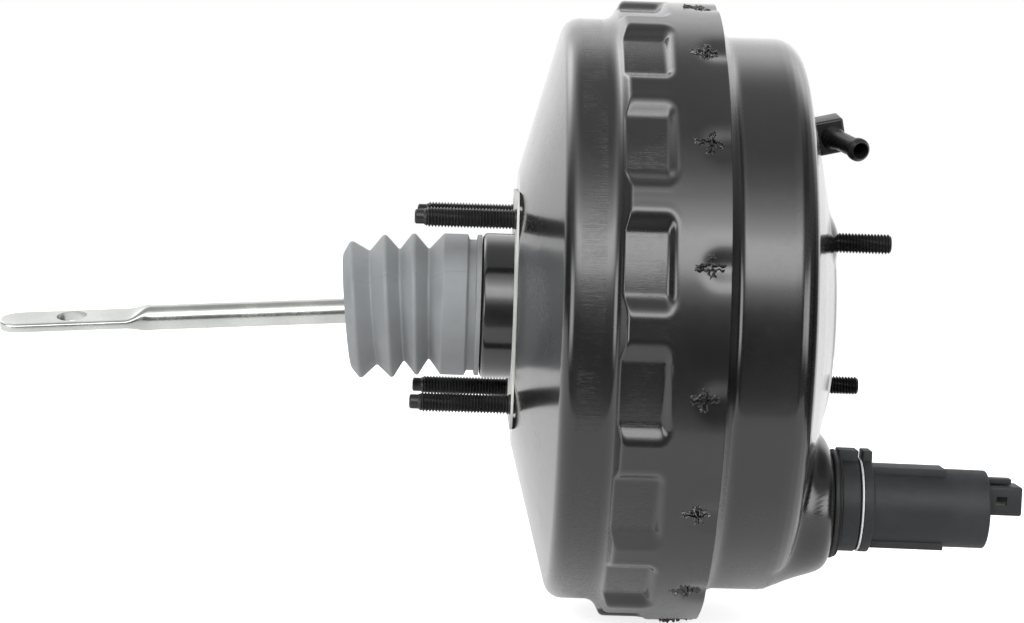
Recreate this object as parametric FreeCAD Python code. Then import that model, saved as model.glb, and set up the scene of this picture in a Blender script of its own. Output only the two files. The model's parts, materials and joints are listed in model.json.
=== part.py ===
import FreeCAD, Part
import math
import os
from FreeCAD import Rotation, Vector

# Vacuum brake booster: two stamped steel shells locked at a rim, a sprung diaphragm piston with its
# control valve, a push rod under a rubber bellows, a vacuum elbow and a travel sensor.
# Millimetres. The origin is the centre of the rear mounting face, on the axis. +X points to the
# master cylinder and +Z is up. Profiles are drawn as (x, radius) and turned about X.

# Sheet metal
sheet = 1.8
plate_sheet = 1.5
stud_plate = 2.0

# Rear shell
face_r = 54.5
cone_slope = 0.2717
rim_r = 123.2
band_step = 7.5
shoulder_round = 7.0
ramp_x = 30.2
ramp_length = 8.0
rim_end_x = 74.8
neck_r = 29.0
neck_length = 13.4
spigot_r = 24.4
neck_corner = 0.6
spigot_length = 8.6

# Stamped pockets and locking tongues round the rim
pocket_count = 16
first_pocket_deg = 168.75
pocket_x = 38.0
pocket_length = 18.9
pocket_width = 36.5
pocket_floor_x = 39.4
pocket_floor_length = 13.2
pocket_floor_width = 23.7
pocket_depth = 3.8
pocket_round = 3.0
tongue_x = 62.9
tongue_length = 7.0
tongue_width = 6.0
tongue_drop = 4.5
tongue_root = 1.0
tongue_gap = 0.4

# Front shell
front_step = 13.0
flange_gap = 0.25
flange_x = 60.8
flare = 2.4
flare_length = 17.4
dome_edge_x = 107.3
dome_edge_round = 10.0
dome_mid_x = 114.3
dome_mid_inset = 28.0
dome_foot = (122.4, 46.5)
pad_x = 123.7
pad_r = 43.2
pilot_r = 28.0
pilot_depth = 11.0
seal_hole_r = 17.0

# Clearances: pieces that seat on each other, and corners kept clear of a fillet
seat_gap = 0.05
corner_gap = 0.8

# Fasteners
stud_r = 4.0
stud_collar_r = 4.7
stud_hole_gap = 0.1
stud_head_r = 7.0
stud_head = 2.2
rear_spacing = 72.0
rear_stud_length = 40.4
dog_r = 2.8
dog_length = 4.0
stud_chamfer = 1.2
front_pcd = 95.0
front_stud_deg = 40.7
front_stud_length = 21.0
stud_pad_r = 10.0
gasket_size = 93.0
gasket_round = 18.0
gasket = 0.9
gasket_gap = 0.05
gasket_hole_gap = 1.4

# Neck bearing and seals
tube_r = 18.0
running_gap = 0.06
seal_length = 6.0
bearing_length = 5.5
neck_ring = 1.0

# Valve body
tube_back_x = -48.5
tube_bore_r = 15.5
ledge_x = -14.0
seat_r = 11.0
seat_wall = 1.3
seat_height = 1.6
hub_x = 4.0
hub_r = 29.0
hub_length = 5.5
bead_r = 24.0
bead_length = 2.8
spigot_seat_r = 26.0
spigot_seat_length = 4.0
nose_r = 17.0
nose_x = 31.7
disc_r = 12.4
disc_x = 22.0
disc_length = 6.0
passage_r = 2.2
passage_ring_r = 21.2

# Diaphragm and its plate
plate_cone_r = 72.0
plate_edge_inset = 10.4
plate_edge_x = 20.0
skirt_x = 44.0
diaphragm_wall = 1.8
bead_outer_gap = 0.6
bead_height = 8.5
bead_width = 3.2
roll_start = 9.0

# Control valve
pivot_x = -10.0
ball_r = 6.5
ball_gap = 0.08
plunger_r = 8.5
plunger_back_x = -16.0
plunger_front_x = 20.3
socket_mouth_r = 5.4
key_x = 6.5
key_thick = 2.0
key_width = 20.0
key_drop = 14.0
key_travel = 1.5
key_gap = 0.05
groove_r = 5.2
poppet_gap = 0.1
poppet_wall = 2.7
poppet_bore_r = 6.2
poppet_r = 13.4
poppet_sleeve = 1.2
poppet_length = 8.0
poppet_bead = 4.0
poppet_cup = 1.5
poppet_cup_bore_r = 10.0

# Air filter in the rear of the valve body's tube
filter_back = 0.5
filter_keeper = 0.7
filter_keeper_r = 11.5
filter_length = 3.8
silencer_length = 2.0
filter_bore_r = 8.4

# Input rod, drawn straight and then drooped about its ball
rod_droop = 3.9
rod_r = 5.0
rod_neck_r = 4.0
rod_neck_x = -24.0
rod_round_end_x = -144.5
rod_taper = 11.0
rod_tip_x = -205.8
tang_width = 17.0
tang_thick = 4.0
tang_turn = 15.0
pin_hole_r = 6.0
pin_x = -177.0
washer_x = -40.0
washer_r = 12.2
washer_thick = 1.2

# Boot
boot_end_x = -66.8
boot_wall = 1.5
boot_tilt = 5.8
boot_collar_r = 28.3
boot_collar_x = -28.8
boot_groove_r = 26.2
boot_groove_x = -18.3
boot_groove_length = 2.7
boot_lip_gap = 0.2
boot_fit = 0.05
boot_hub_r = 7.5
boot_hub_back = 1.2
boot_hub_front = 3.0
boot_folds = (
    (-66.4, 25.5),
    (-63.3, 27.9),
    (-56.3, 22.7),
    (-50.3, 29.2),
    (-45.0, 22.1),
    (-39.6, 29.1),
    (-34.2, 21.8),
)

# Return springs: coil radius and wire radius, then turns
main_spring = (36.0, 2.0)
main_turns = 5
rod_spring = (11.0, 0.6)
rod_turns = 4
poppet_spring = (8.6, 0.5)
poppet_turns = 6
probe_spring = (5.2, 0.5)
probe_turns = 9
coil_steps = 14
spring_seat = 1.0

# Output rod
output_r = 6.0
cap_skirt = 6.0
cap_wall = 0.9
cap_hole_gap = 1.5
output_head = 3.6
output_end_x = 116.0
output_tip_x = 122.0
tip_stem_r = 3.0
tip_stem = 9.0
tip_r = 4.2
hex_across = 10.0
hex_length = 3.5

# Vacuum elbow: place round the axis from +Y, and distance inside the front shell's cylinder
elbow_deg = 80.4
elbow_inset = 38.2
elbow_stem = 8.0
grommet_hole_r = 8.5
grommet_flange_r = 11.5
grommet_flange = 2.0
grommet_gap = 0.25
elbow_stem_r = 5.5
elbow_block = (12.5, 12.0, 14.0)
elbow_block_round = 1.6
hose_yaw = 15.4
hose_drop = 14.0
hose_length = 30.0
hose_r = 3.5
hose_root_r = 4.7
hose_root_length = 3.0
barb_r = 4.65
barb_length = 4.0
barb_rise = 0.6
barb_land = 1.4
barb_tip_r = 3.75
hose_bore_r = 2.65

# Travel sensor: place round the axis from +Y, and distance inside the front shell's cylinder
sensor_deg = 249.44
sensor_inset = 33.3
sensor_tilt = 2.0
boss_r = 27.5
boss_x = 125.5
boss_round = 7.0
boss_foot_round = 6.0
boss_seam_slack = 1.0
sensor_hole_r = 17.0
sensor_rib_r = 21.5
sensor_rib = 2.2
adapter_x = 129.6
adapter_r = 18.5
adapter_length = 8.6
adapter_neck_r = 14.0
lug_width = 11.0
lug_height = 3.3
wire_ring_r = 0.55
wire_ring_space = 1.3
flange_length = 3.2
body_r = 15.5
body_end_x = 188.5
body_bore_r = 7.0
pad_length = 27.0
pad_width = 16.0
pad_proud = 0.6
plug_length = 12.2
plug_height = 11.4
plug_width = 15.0
plug_wall = 1.3
plug_rise = 4.0
plug_tab_length = 9.7
plug_tab_height = 2.2
plug_tab_gap = 0.4
plug_tab_width = 6.0
plug_window_x = 3.4
plug_window_length = 4.1
plug_window_height = 3.5
terminal = 0.8
terminal_pitch = 4.0
probe_r = 3.5
probe_head = 4.0
probe_back_x = 150.0
probe_gap = 0.7

axis_x = Vector(1, 0, 0)
origin = Vector(0, 0, 0)

# Sizes that follow from the ones above
band_r = rim_r - band_step
shoulder_x = (band_r - face_r) * cone_slope
front_r = rim_r - front_step
dome_mid = (dome_mid_x, front_r - dome_mid_inset)
plate_edge_r = front_r - sheet - plate_edge_inset
elbow_tilt = math.degrees(math.atan2(dome_foot[0] - dome_mid[0], dome_mid[1] - dome_foot[1]))
elbow_y = (front_r - elbow_inset) * math.cos(math.radians(elbow_deg))
elbow_z = (front_r - elbow_inset) * math.sin(math.radians(elbow_deg))
sensor_y = (front_r - sensor_inset) * math.cos(math.radians(sensor_deg))
sensor_z = (front_r - sensor_inset) * math.sin(math.radians(sensor_deg))
pocket_angles = [first_pocket_deg + 360.0 / pocket_count * i for i in range(pocket_count)]
rear_half = rear_spacing / 2
rear_points = [(y, z) for y in (-rear_half, rear_half) for z in (-rear_half, rear_half)]
front_half_y = front_pcd / 2 * math.cos(math.radians(front_stud_deg))
front_half_z = front_pcd / 2 * math.sin(math.radians(front_stud_deg))
front_points = [(-front_half_y, front_half_z), (front_half_y, -front_half_z)]
bead_back_x = hub_x + hub_length
plate_x = bead_back_x + bead_length
pilot_floor_x = pad_x - pilot_depth
poppet_back_x = plunger_back_x - poppet_gap - poppet_wall
boot_drop = math.tan(math.radians(rod_droop)) * (pivot_x - boot_end_x)


def corner_edges(corners, closed=True):
    """Edges through (u, v, round) corners, each round one a tangent arc, in the XZ plane."""
    points = [Vector(c[0], 0, c[1]) for c in corners]
    rounds = [c[2] if len(c) > 2 else 0.0 for c in corners]
    count = len(points)
    ends = []
    for i, here in enumerate(points):
        if rounds[i] == 0 or (not closed and i in (0, count - 1)):
            ends.append((here, None, here))
            continue
        back = (points[i - 1] - here).normalize()
        ahead = (points[(i + 1) % count] - here).normalize()
        half = back.getAngle(ahead) / 2
        run = rounds[i] / math.tan(half)
        middle = (back + ahead).normalize()
        reach = rounds[i] / math.sin(half) - rounds[i]
        ends.append((here + back * run, here + middle * reach, here + ahead * run))
    edges = []
    for i in range(count if closed else count - 1):
        start, finish = ends[i][2], ends[(i + 1) % count][0]
        if (finish - start).Length > 1e-6:
            edges.append(Part.LineSegment(start, finish).toShape())
        first, through, last = ends[(i + 1) % count]
        if through is not None:
            edges.append(Part.Arc(first, through, last).toShape())
    return edges


def turned(corners):
    """Solid of revolution about X of a closed (x, radius, round) profile."""
    wire = Part.Wire(Part.__sortEdges__(corner_edges(corners)))
    return Part.Face(wire).revolve(origin, axis_x, 360)


def offset_corners(corners, distance):
    """The same open profile moved sideways by distance, to the right of its direction of travel."""
    moved = []
    for i, corner in enumerate(corners):
        here = Vector(corner[0], corner[1], 0)
        before = corners[max(i - 1, 0)]
        after = corners[min(i + 1, len(corners) - 1)]
        way_in = here - Vector(before[0], before[1], 0)
        way_out = Vector(after[0], after[1], 0) - here
        if i == 0:
            way_in = way_out
        if i == len(corners) - 1:
            way_out = way_in
        way_in.normalize()
        way_out.normalize()
        side_in = Vector(way_in.y, -way_in.x, 0)
        side_out = Vector(way_out.y, -way_out.x, 0)
        side = (side_in + side_out).normalize()
        shift = here + side * (distance / side.dot(side_out))
        turn = way_in.x * way_out.y - way_in.y * way_out.x
        rounding = corner[2] if len(corner) > 2 else 0.0
        if rounding:
            rounding = max(rounding + (distance if turn > 0 else -distance), distance / 6)
        moved.append((shift.x, shift.y, rounding))
    return moved


def ring(x0, x1, inner, outer):
    """Plain washer or bush about X."""
    shape = Part.makeCylinder(outer, x1 - x0, Vector(x0, 0, 0), axis_x)
    if inner:
        shape = shape.cut(Part.makeCylinder(inner, x1 - x0, Vector(x0, 0, 0), axis_x))
    return shape


def rod(radius, x0, x1, y=0.0, z=0.0):
    """Cylinder along X through (y, z)."""
    return Part.makeCylinder(radius, x1 - x0, Vector(x0, y, z), axis_x)


def block(x0, x1, y0, y1, z0, z1):
    """Box between two corners."""
    return Part.makeBox(x1 - x0, y1 - y0, z1 - z0, Vector(x0, y0, z0))


def chamfered_rod(radius, x0, x1, chamfer, y=0.0, z=0.0):
    """Cylinder from x0 to x1 whose end at x1 is chamfered; x1 may lie on either side."""
    way = 1 if x1 > x0 else -1
    shape = turned([
        (x0, 0), (x0, radius), (x1 - way * chamfer, radius), (x1, radius - chamfer), (x1, 0),
    ])
    shape.translate(Vector(0, y, z))
    return shape


def helix_spring(sizes, turns, x0, x1):
    """Wire coil between two planes across X: six-sided wire sections lofted along a helix."""
    coil_r, wire_r = sizes
    rise = x1 - x0 - 2 * wire_r
    steps = turns * coil_steps
    sections = []
    for i in range(steps + 1):
        angle = 2 * math.pi * i / coil_steps
        outward = Vector(0, math.cos(angle), math.sin(angle))
        along = axis_x.cross(outward) * coil_r + axis_x * (rise / turns / 2 / math.pi)
        across = along.cross(outward).normalize()
        centre = axis_x * (x0 + wire_r + rise * i / steps) + outward * coil_r
        corners = []
        for k in range(7):
            turn = math.radians(60 * k)
            corners.append(centre + (outward * math.cos(turn) + across * math.sin(turn)) * wire_r)
        sections.append(Part.makePolygon(corners))
    return Part.makeLoft(sections, True, True)


def aimed(shape, start, way):
    """Moves a shape drawn about X, from x = 0, to start and turns its axis along way."""
    turn = Rotation(axis_x, way)
    shape.rotate(origin, turn.Axis, math.degrees(turn.Angle))
    shape.translate(start)
    return shape


def drooped(shape):
    """Turns a shape drawn along X about the ball of the input rod to its hanging pose."""
    shape.rotate(Vector(pivot_x, 0, 0), Vector(0, 1, 0), -rod_droop)
    return shape


def at_sensor(shape):
    """Moves a shape drawn about X to the travel sensor's boss and tilts it outwards."""
    way = Vector(0, sensor_y, sensor_z)
    hinge = axis_x.cross(way)
    shape.rotate(Vector(boss_x, 0, 0), hinge, sensor_tilt)
    shape.translate(way)
    return shape


def at_elbow(shape):
    """Moves a shape drawn about X, with x = 0 on the dome, to the vacuum elbow's seat."""
    way = Vector(0, elbow_y, elbow_z)
    shape.rotate(origin, axis_x.cross(way), elbow_tilt)
    shape.translate(way + axis_x * dome_x_at(way.Length))
    return shape


def dome_x_at(radius):
    """Height of the front dome's outer skin at a radius between its two drawn corners."""
    share = (dome_mid[1] - radius) / (dome_mid[1] - dome_foot[1])
    return dome_mid[0] + share * (dome_foot[0] - dome_mid[0])


def save(name, shape):
    """Writes one sub-part and prints its volume."""
    shape.exportStep(os.path.join("parts", name + ".step"))
    print(f"{name:22s} solids {len(shape.Solids):2d}  volume {shape.Volume / 1000:9.3f} cm3")


def rear_outline():
    """Outer skin of the rear shell from its spigot, over neck, face and cone, to the rim's edge."""
    return [
        (-neck_length - spigot_length, spigot_r),
        (-neck_length, spigot_r, neck_corner),
        (-neck_length, neck_r, 2.2),
        (0, neck_r, neck_corner),
        (0, face_r, 10.0),
        (shoulder_x, band_r, shoulder_round),
        (ramp_x, band_r, 3.0),
        (ramp_x + ramp_length, rim_r, 3.0),
        (rim_end_x, rim_r),
    ]


def front_outline():
    """Outer skin of the front shell from its locked flange, over cylinder and dome, to the pilot."""
    return [
        (flange_x + sheet, rim_r - sheet - flange_gap),
        (flange_x + sheet, front_r + flare, 3.0),
        (flange_x + sheet + flare_length, front_r, 30.0),
        (dome_edge_x, front_r, dome_edge_round),
        (dome_mid[0], dome_mid[1], 120.0),
        (dome_foot[0], dome_foot[1], 8.0),
        (pad_x, pad_r, 2.0),
        (pad_x, pilot_r, 1.4),
        (pilot_floor_x, pilot_r, 2.4),
        (pilot_floor_x, seal_hole_r),
    ]


def filled(corners):
    """Solid inside an open profile, closed down to the axis."""
    first, last = corners[0], corners[-1]
    return turned([(first[0], 0)] + list(corners) + [(last[0], 0)])


def pocket_block(grow):
    """Pocket form on the +Z side; grow is the sheet thickness for the bulge that it makes inside."""
    slope_back = (pocket_floor_x - pocket_x) / pocket_depth
    slope_front = (pocket_length - pocket_floor_length) / pocket_depth - slope_back
    slope_side = (pocket_width - pocket_floor_width) / 2 / pocket_depth
    floor_r = rim_r - pocket_depth - grow
    rise = 2 * pocket_depth

    def shift(slope):
        return grow * (math.hypot(1, slope) - slope)

    x0 = pocket_floor_x - shift(slope_back)
    x1 = pocket_floor_x + pocket_floor_length + shift(slope_front)
    half = pocket_floor_width / 2 + shift(slope_side)
    top_half = half + slope_side * rise
    form = Part.makeWedge(
        x0, floor_r, -half, -top_half, x0 - slope_back * rise,
        x1, floor_r + rise, half, top_half, x1 + slope_front * rise,
    )
    form.rotate(origin, axis_x, 90)
    corners = [e for e in form.Edges if e.BoundBox.ZLength > rise / 2]
    return form.makeFillet(pocket_round + grow, corners)


def round_the_rim(shape):
    """Copies of a shape drawn on the +Z side, one at each pocket angle from +Y."""
    copies = []
    for angle in pocket_angles:
        copy = shape.copy()
        copy.rotate(origin, axis_x, angle - 90)
        copies.append(copy)
    return copies


def make_rear_shell():
    """Rear shell with pockets stamped inwards and tongues staked behind the front shell's flange."""
    outer = filled(rear_outline()).cut(round_the_rim(pocket_block(0)))
    inner = filled(offset_corners(rear_outline(), sheet)).cut(round_the_rim(pocket_block(sheet)))
    shell = outer.cut(inner)
    half = tongue_width / 2
    slot_r = rim_r - 2 * sheet
    slot = block(tongue_x, tongue_x + tongue_length, -half, half, slot_r, rim_r + sheet)
    shell = shell.cut(round_the_rim(slot))
    root_x = tongue_x + tongue_length + tongue_root
    inset = sheet / 6
    tongue_side = [
        Vector(root_x, 0, rim_r - inset),
        Vector(tongue_x, 0, rim_r - tongue_drop),
        Vector(tongue_x, 0, rim_r - tongue_drop - sheet + 2 * inset),
        Vector(root_x, 0, rim_r - sheet + inset),
    ]
    tongue = Part.Face(Part.makePolygon(tongue_side + tongue_side[:1]))
    tongue.translate(Vector(0, tongue_gap - half, 0))
    tongue = tongue.extrude(Vector(0, tongue_width - 2 * tongue_gap, 0))
    shell = shell.fuse(round_the_rim(tongue))
    for y, z in rear_points:
        shell = shell.cut(rod(stud_collar_r + stud_hole_gap, -1, sheet + 1, y, z))
    return shell


def boss(radius, top_x, rounding):
    """Rounded round boss for the travel sensor, standing on the dome."""
    base_x = dome_edge_x - 6
    shape = turned([
        (base_x, 0), (base_x, radius), (top_x, radius, rounding), (top_x, 0),
    ])
    return at_sensor(shape)


def with_boss(form, radius, top_x, rounding, foot_round):
    """Adds the sensor's boss to the dome and fillets its foot."""
    form = form.fuse(boss(radius, top_x, rounding)).removeSplitter()
    seam = []
    for edge in form.Edges:
        first, last = edge.FirstParameter, edge.LastParameter
        spots = [edge.valueAt(first + (last - first) * k / 8) for k in range(9)]
        reach = [math.hypot(p.y - sensor_y, p.z - sensor_z) for p in spots]
        if all(abs(r - radius) < boss_seam_slack for r in reach):
            if min(p.x for p in spots) < top_x - rounding:
                seam.append(edge)
    return form.makeFillet(foot_round, seam)


def make_front_shell():
    """Front shell with the sensor's boss, stud pads and the holes for all that passes through."""
    outer = filled(front_outline())
    inner = filled(offset_corners(front_outline(), sheet)[:-1] + [
        (pilot_floor_x - sheet, 0),
    ])
    outer = with_boss(outer, boss_r, boss_x, boss_round, boss_foot_round)
    inner = with_boss(inner, boss_r - sheet, boss_x - sheet, boss_round - sheet, boss_foot_round)
    base_x = dome_edge_x
    for y, z in front_points:
        outer = outer.fuse(rod(stud_pad_r, base_x, pad_x, y, z))
        inner = inner.fuse(rod(stud_pad_r - sheet, base_x, pad_x - sheet, y, z))
    shell = outer.cut(inner)
    shell = shell.cut(rod(seal_hole_r, pilot_floor_x - 2 * sheet, pilot_floor_x + 1))
    for y, z in front_points:
        shell = shell.cut(rod(stud_collar_r + stud_hole_gap, base_x, pad_x + 1, y, z))
    shell = shell.cut(at_sensor(rod(sensor_hole_r, boss_x - boss_r / 2, boss_x + 1)))
    shell = shell.cut(at_elbow(rod(grommet_hole_r, -2 * sheet - 2, sheet + 2)))
    return shell.removeSplitter()


def make_studs(points, face_x, seat_x, tip_x, dogged):
    """Weld studs: head inside, collar through the metal to seat_x, shank, chamfered or dog tip."""
    way = 1 if tip_x > face_x else -1
    studs = []
    for y, z in points:
        end_x = tip_x - way * dog_length if dogged else tip_x
        stud = chamfered_rod(stud_r, face_x, end_x, stud_chamfer, y, z)
        head = sorted((face_x, face_x - way * stud_head))
        collar = sorted((face_x, seat_x))
        stud = stud.fuse([
            rod(stud_head_r, head[0], head[1], y, z), rod(stud_collar_r, collar[0], collar[1], y, z),
        ])
        if dogged:
            stud = stud.fuse(chamfered_rod(dog_r, end_x + way * -1, tip_x, 0.5, y, z))
        studs.append(stud.removeSplitter())
    return Part.makeCompound(studs)


def make_gasket():
    """Rounded square plate behind the mounting face, with its stud holes and neck hole."""
    half = gasket_size / 2
    plate = block(-gasket - gasket_gap, -gasket_gap, -half, half, -half, half)
    edges = [e for e in plate.Edges if abs(e.tangentAt(e.FirstParameter).x) > 0.99]
    plate = plate.makeFillet(gasket_round, edges)
    plate = plate.cut(rod(neck_r + corner_gap, -2 * gasket, 1))
    for y, z in rear_points:
        plate = plate.cut(rod(stud_r + gasket_hole_gap, -2 * gasket, 1, y, z))
    return plate


def make_rear_stud_plate():
    """Stiffening ring inside the rear face, which the four studs are welded to."""
    plate = ring(sheet, sheet + stud_plate, neck_r + 2, face_r - 2)
    for y, z in rear_points:
        plate = plate.cut(rod(stud_collar_r + stud_hole_gap, sheet - 1, sheet + stud_plate + 1, y, z))
    return plate


def make_front_stud_plate():
    """Stiffening ring with two ears inside the front pad."""
    x1 = pad_x - sheet
    x0 = x1 - plate_sheet
    ear_r = stud_pad_r - sheet - 0.3
    plate = rod(pad_r - 2 * sheet, x0, x1)
    for y, z in front_points:
        plate = plate.fuse(rod(ear_r, x0, x1, y, z))
        bridge = block(x0, x1, 0, front_pcd / 2, -ear_r * 0.7, ear_r * 0.7)
        bridge.rotate(origin, axis_x, math.degrees(math.atan2(z, y)))
        plate = plate.fuse(bridge)
    plate = plate.cut(rod(pilot_r + sheet + corner_gap, x0 - 1, x1 + 1))
    for y, z in front_points:
        plate = plate.cut(rod(stud_collar_r + stud_hole_gap, x0 - 1, x1 + 1, y, z))
    return plate.removeSplitter()


def make_neck_parts():
    """Lip seal, guide bush and retaining ring that carry the valve body's tube in the neck."""
    outer = neck_r - sheet
    bore = tube_r + running_gap
    x0 = sheet - neck_length
    x1 = x0 + seal_length
    x2 = x1 + bearing_length
    seal = turned([
        (x0, bore + 1.6), (x0, outer, corner_gap), (x1, outer), (x1, bore + 2.6), (x1 - 1.6, bore + 2.6),
        (x0 + 2.4, bore + 2.6), (x0 + 3.6, bore), (x0 + 1.8, bore),
    ])
    bush = turned([
        (x1, bore, 0.5), (x1, outer), (x2, outer), (x2, bore + 2.4), (x2 + 1.5, bore + 2.4),
        (x2 + 1.5, bore, 0.5),
    ])
    keeper = turned([
        (x2, bore + 3.0), (x2, outer - seat_gap), (x2 + neck_ring, outer - seat_gap),
        (x2 + neck_ring, bore + 3.0),
    ])
    return seal, bush, keeper


def make_valve_body():
    """Moulded control housing: rear tube, hub with bead groove, seat, nose and bores."""
    shape = turned([
        (tube_back_x, tube_bore_r), (tube_back_x, tube_r, 0.6), (hub_x, tube_r, 1.0),
        (hub_x, hub_r, 1.0), (bead_back_x, hub_r, 0.5), (bead_back_x, bead_r),
        (plate_x, bead_r), (plate_x, spigot_seat_r), (plate_x + spigot_seat_length, spigot_seat_r, 0.6),
        (plate_x + spigot_seat_length, nose_r, 1.5), (nose_x, nose_r, 0.4),
        (nose_x, disc_r), (disc_x, disc_r), (disc_x, plunger_r + running_gap),
        (ledge_x, plunger_r + running_gap), (ledge_x, seat_r),
        (ledge_x - seat_height, seat_r, 0.3), (ledge_x - seat_height, seat_r + seat_wall, 0.3),
        (ledge_x, seat_r + seat_wall), (ledge_x, tube_bore_r, 0.8),
    ])
    half = key_width / 2 + key_gap
    slot = block(key_x - key_gap, key_x + key_thick + key_gap, -half, half, -key_drop - 1, hub_r + 1)
    shape = shape.cut(slot)
    for i in range(4):
        angle = math.radians(45 + 90 * i)
        y, z = passage_ring_r * math.cos(angle), passage_ring_r * math.sin(angle)
        shape = shape.cut(rod(passage_r, hub_x - 1, plate_x + spigot_seat_length + 1, y, z))
    return shape.removeSplitter()


def plate_line():
    """Rear skin of the diaphragm plate from its hub hole out to the front edge of its skirt."""
    return [
        (plate_x, spigot_seat_r + seat_gap),
        (plate_x, plate_cone_r, 6.0),
        (plate_edge_x, plate_edge_r, 5.0),
        (skirt_x, plate_edge_r),
    ]


def make_diaphragm_plate():
    """Stamped dish that the diaphragm pushes forward."""
    back = plate_line()
    front = offset_corners(back, plate_sheet)
    return turned(back + front[::-1])


def make_diaphragm():
    """Rolling rubber diaphragm from the bead in the hub groove to the bead clamped in the rim."""
    bead_x1 = flange_x
    bead_x0 = bead_x1 - bead_width
    bead_top = rim_r - sheet - bead_outer_gap
    gap = seat_gap
    back_line = [
        (plate_x - gap, spigot_seat_r + gap),
        (plate_x - gap, plate_cone_r, 6.0),
        (plate_edge_x - gap, plate_edge_r + gap, 5.0),
        (plate_edge_x + roll_start, plate_edge_r + gap + 1, 8.0),
        (bead_x0 + bead_width / 2, bead_top - bead_height),
    ]
    outside = offset_corners(back_line, -diaphragm_wall)
    sleeve = turned(back_line + outside[::-1])
    rim_bead = turned([
        (bead_x0, bead_top - bead_height - diaphragm_wall, 0.4), (bead_x0, bead_top, 1.0),
        (bead_x1, bead_top, 1.0), (bead_x1, bead_top - bead_height - diaphragm_wall, 0.4),
    ])
    hub_bead = ring(bead_back_x + gap, plate_x - gap, bead_r + gap, spigot_seat_r + 3)
    return sleeve.fuse([rim_bead, hub_bead]).removeSplitter()


def make_plate_retainer():
    """Toothed spring ring that keeps the plate on the hub's spigot."""
    x0 = plate_x + plate_sheet + seat_gap
    shape = ring(x0, x0 + 0.8, spigot_seat_r + seat_gap, spigot_seat_r + 4.5)
    for i in range(12):
        notch = block(x0 - 1, x0 + 2, -1.2, 1.2, spigot_seat_r - 1, spigot_seat_r + 2.2)
        notch.rotate(origin, axis_x, 30 * i)
        shape = shape.cut(notch)
    return shape


def make_plunger():
    """Valve plunger with its ball socket, seat rim and key groove."""
    socket_r = ball_r + ball_gap
    shape = turned([
        (plunger_back_x, 0), (plunger_back_x, plunger_r, 0.4), (plunger_front_x, plunger_r, 0.5),
        (plunger_front_x, 0),
    ])
    groove_back = key_x - key_travel - 2 * key_gap
    groove = ring(groove_back, key_x + key_thick + 2 * key_gap, groove_r, plunger_r + 1)
    mouth = rod(socket_mouth_r, plunger_back_x - 1, pivot_x)
    return shape.cut([groove, mouth, Part.makeSphere(socket_r, Vector(pivot_x, 0, 0))])


def make_key():
    """Forked stop plate through the valve body, astride the plunger's groove."""
    half = key_width / 2
    plate = block(key_x, key_x + key_thick, -half, half, -key_drop, hub_r - 1)
    throat = groove_r + 0.1
    notch = block(key_x - 1, key_x + key_thick + 1, -throat, throat, -key_drop - 1, 0)
    return plate.cut([notch, rod(throat, key_x - 1, key_x + key_thick + 1)])


def make_poppet():
    """Rubber valve with a flat face against both seats and a bead held in the tube."""
    face_x = plunger_back_x - poppet_gap
    back = poppet_back_x
    outer = tube_bore_r - 2 * seat_gap
    inner = poppet_r - poppet_sleeve
    bead_x = back - poppet_length + poppet_bead
    return turned([
        (face_x, poppet_bore_r, 0.5), (face_x, poppet_r, 0.5), (bead_x, poppet_r, 0.5),
        (bead_x, outer), (back - poppet_length, outer), (back - poppet_length, inner),
        (back, inner), (back, poppet_bore_r),
    ])


def make_poppet_retainer():
    """Steel cup that holds the poppet's bead and seats the rod's return spring."""
    x1 = poppet_back_x - poppet_length
    return ring(x1 - poppet_cup, x1, poppet_cup_bore_r, tube_bore_r - seat_gap)


def tube_fitting(x0, x1, inner):
    """Ring pushed into the valve body's tube."""
    return ring(x0, x1, inner, tube_bore_r - seat_gap)


def make_output_rod():
    """Output rod with the head that bears on the reaction disc."""
    x0 = disc_x + disc_length
    bore = rod(tip_stem_r + seat_gap, output_end_x - tip_stem - 1, output_end_x + 1)
    head = rod(disc_r - seat_gap, x0, x0 + output_head)
    return head.fuse(rod(output_r, x0, output_end_x)).cut(bore).removeSplitter()


def make_output_tip():
    """Adjusting screw in the output rod's end, with a hexagon and a domed nose."""
    corner = hex_across / 2 / math.cos(math.radians(30))
    points = [
        Vector(output_end_x, corner * math.cos(math.radians(60 * i)),
               corner * math.sin(math.radians(60 * i)))
        for i in range(7)
    ]
    head = Part.Face(Part.makePolygon(points)).extrude(Vector(hex_length, 0, 0))
    nose = turned([
        (output_end_x + hex_length - 0.5, 0), (output_end_x + hex_length - 0.5, tip_r),
        (output_tip_x, tip_r, 2.0), (output_tip_x, 0),
    ])
    return head.fuse([nose, rod(tip_stem_r, output_end_x - tip_stem, output_end_x)]).removeSplitter()


def make_output_retainer():
    """Pressed cap over the valve body's nose that keeps disc and output rod in."""
    inner_r = nose_r + seat_gap
    outer_r = inner_r + cap_wall
    hole_r = output_r + cap_hole_gap
    front_x = nose_x + seat_gap + cap_wall
    return turned([
        (nose_x + seat_gap, hole_r), (nose_x + seat_gap, inner_r), (nose_x - cap_skirt, inner_r),
        (nose_x - cap_skirt, outer_r), (front_x, outer_r, 0.8), (front_x, hole_r),
    ])


def make_front_seal():
    """Rubber seal in the pilot's floor that wipes the output rod."""
    lip = output_r + running_gap
    back, front = pilot_floor_x - sheet, pilot_floor_x
    return turned([
        (back - 2.0, lip + 2), (back - 2.0, seal_hole_r + 3, 0.8), (back, seal_hole_r + 3),
        (back, seal_hole_r), (front, seal_hole_r), (front, seal_hole_r + 2.4),
        (front + 1.6, seal_hole_r + 2.4, 0.8), (front + 1.6, lip + 2, 0.6), (front + 0.4, lip),
        (back - 0.6, lip),
    ])


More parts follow.
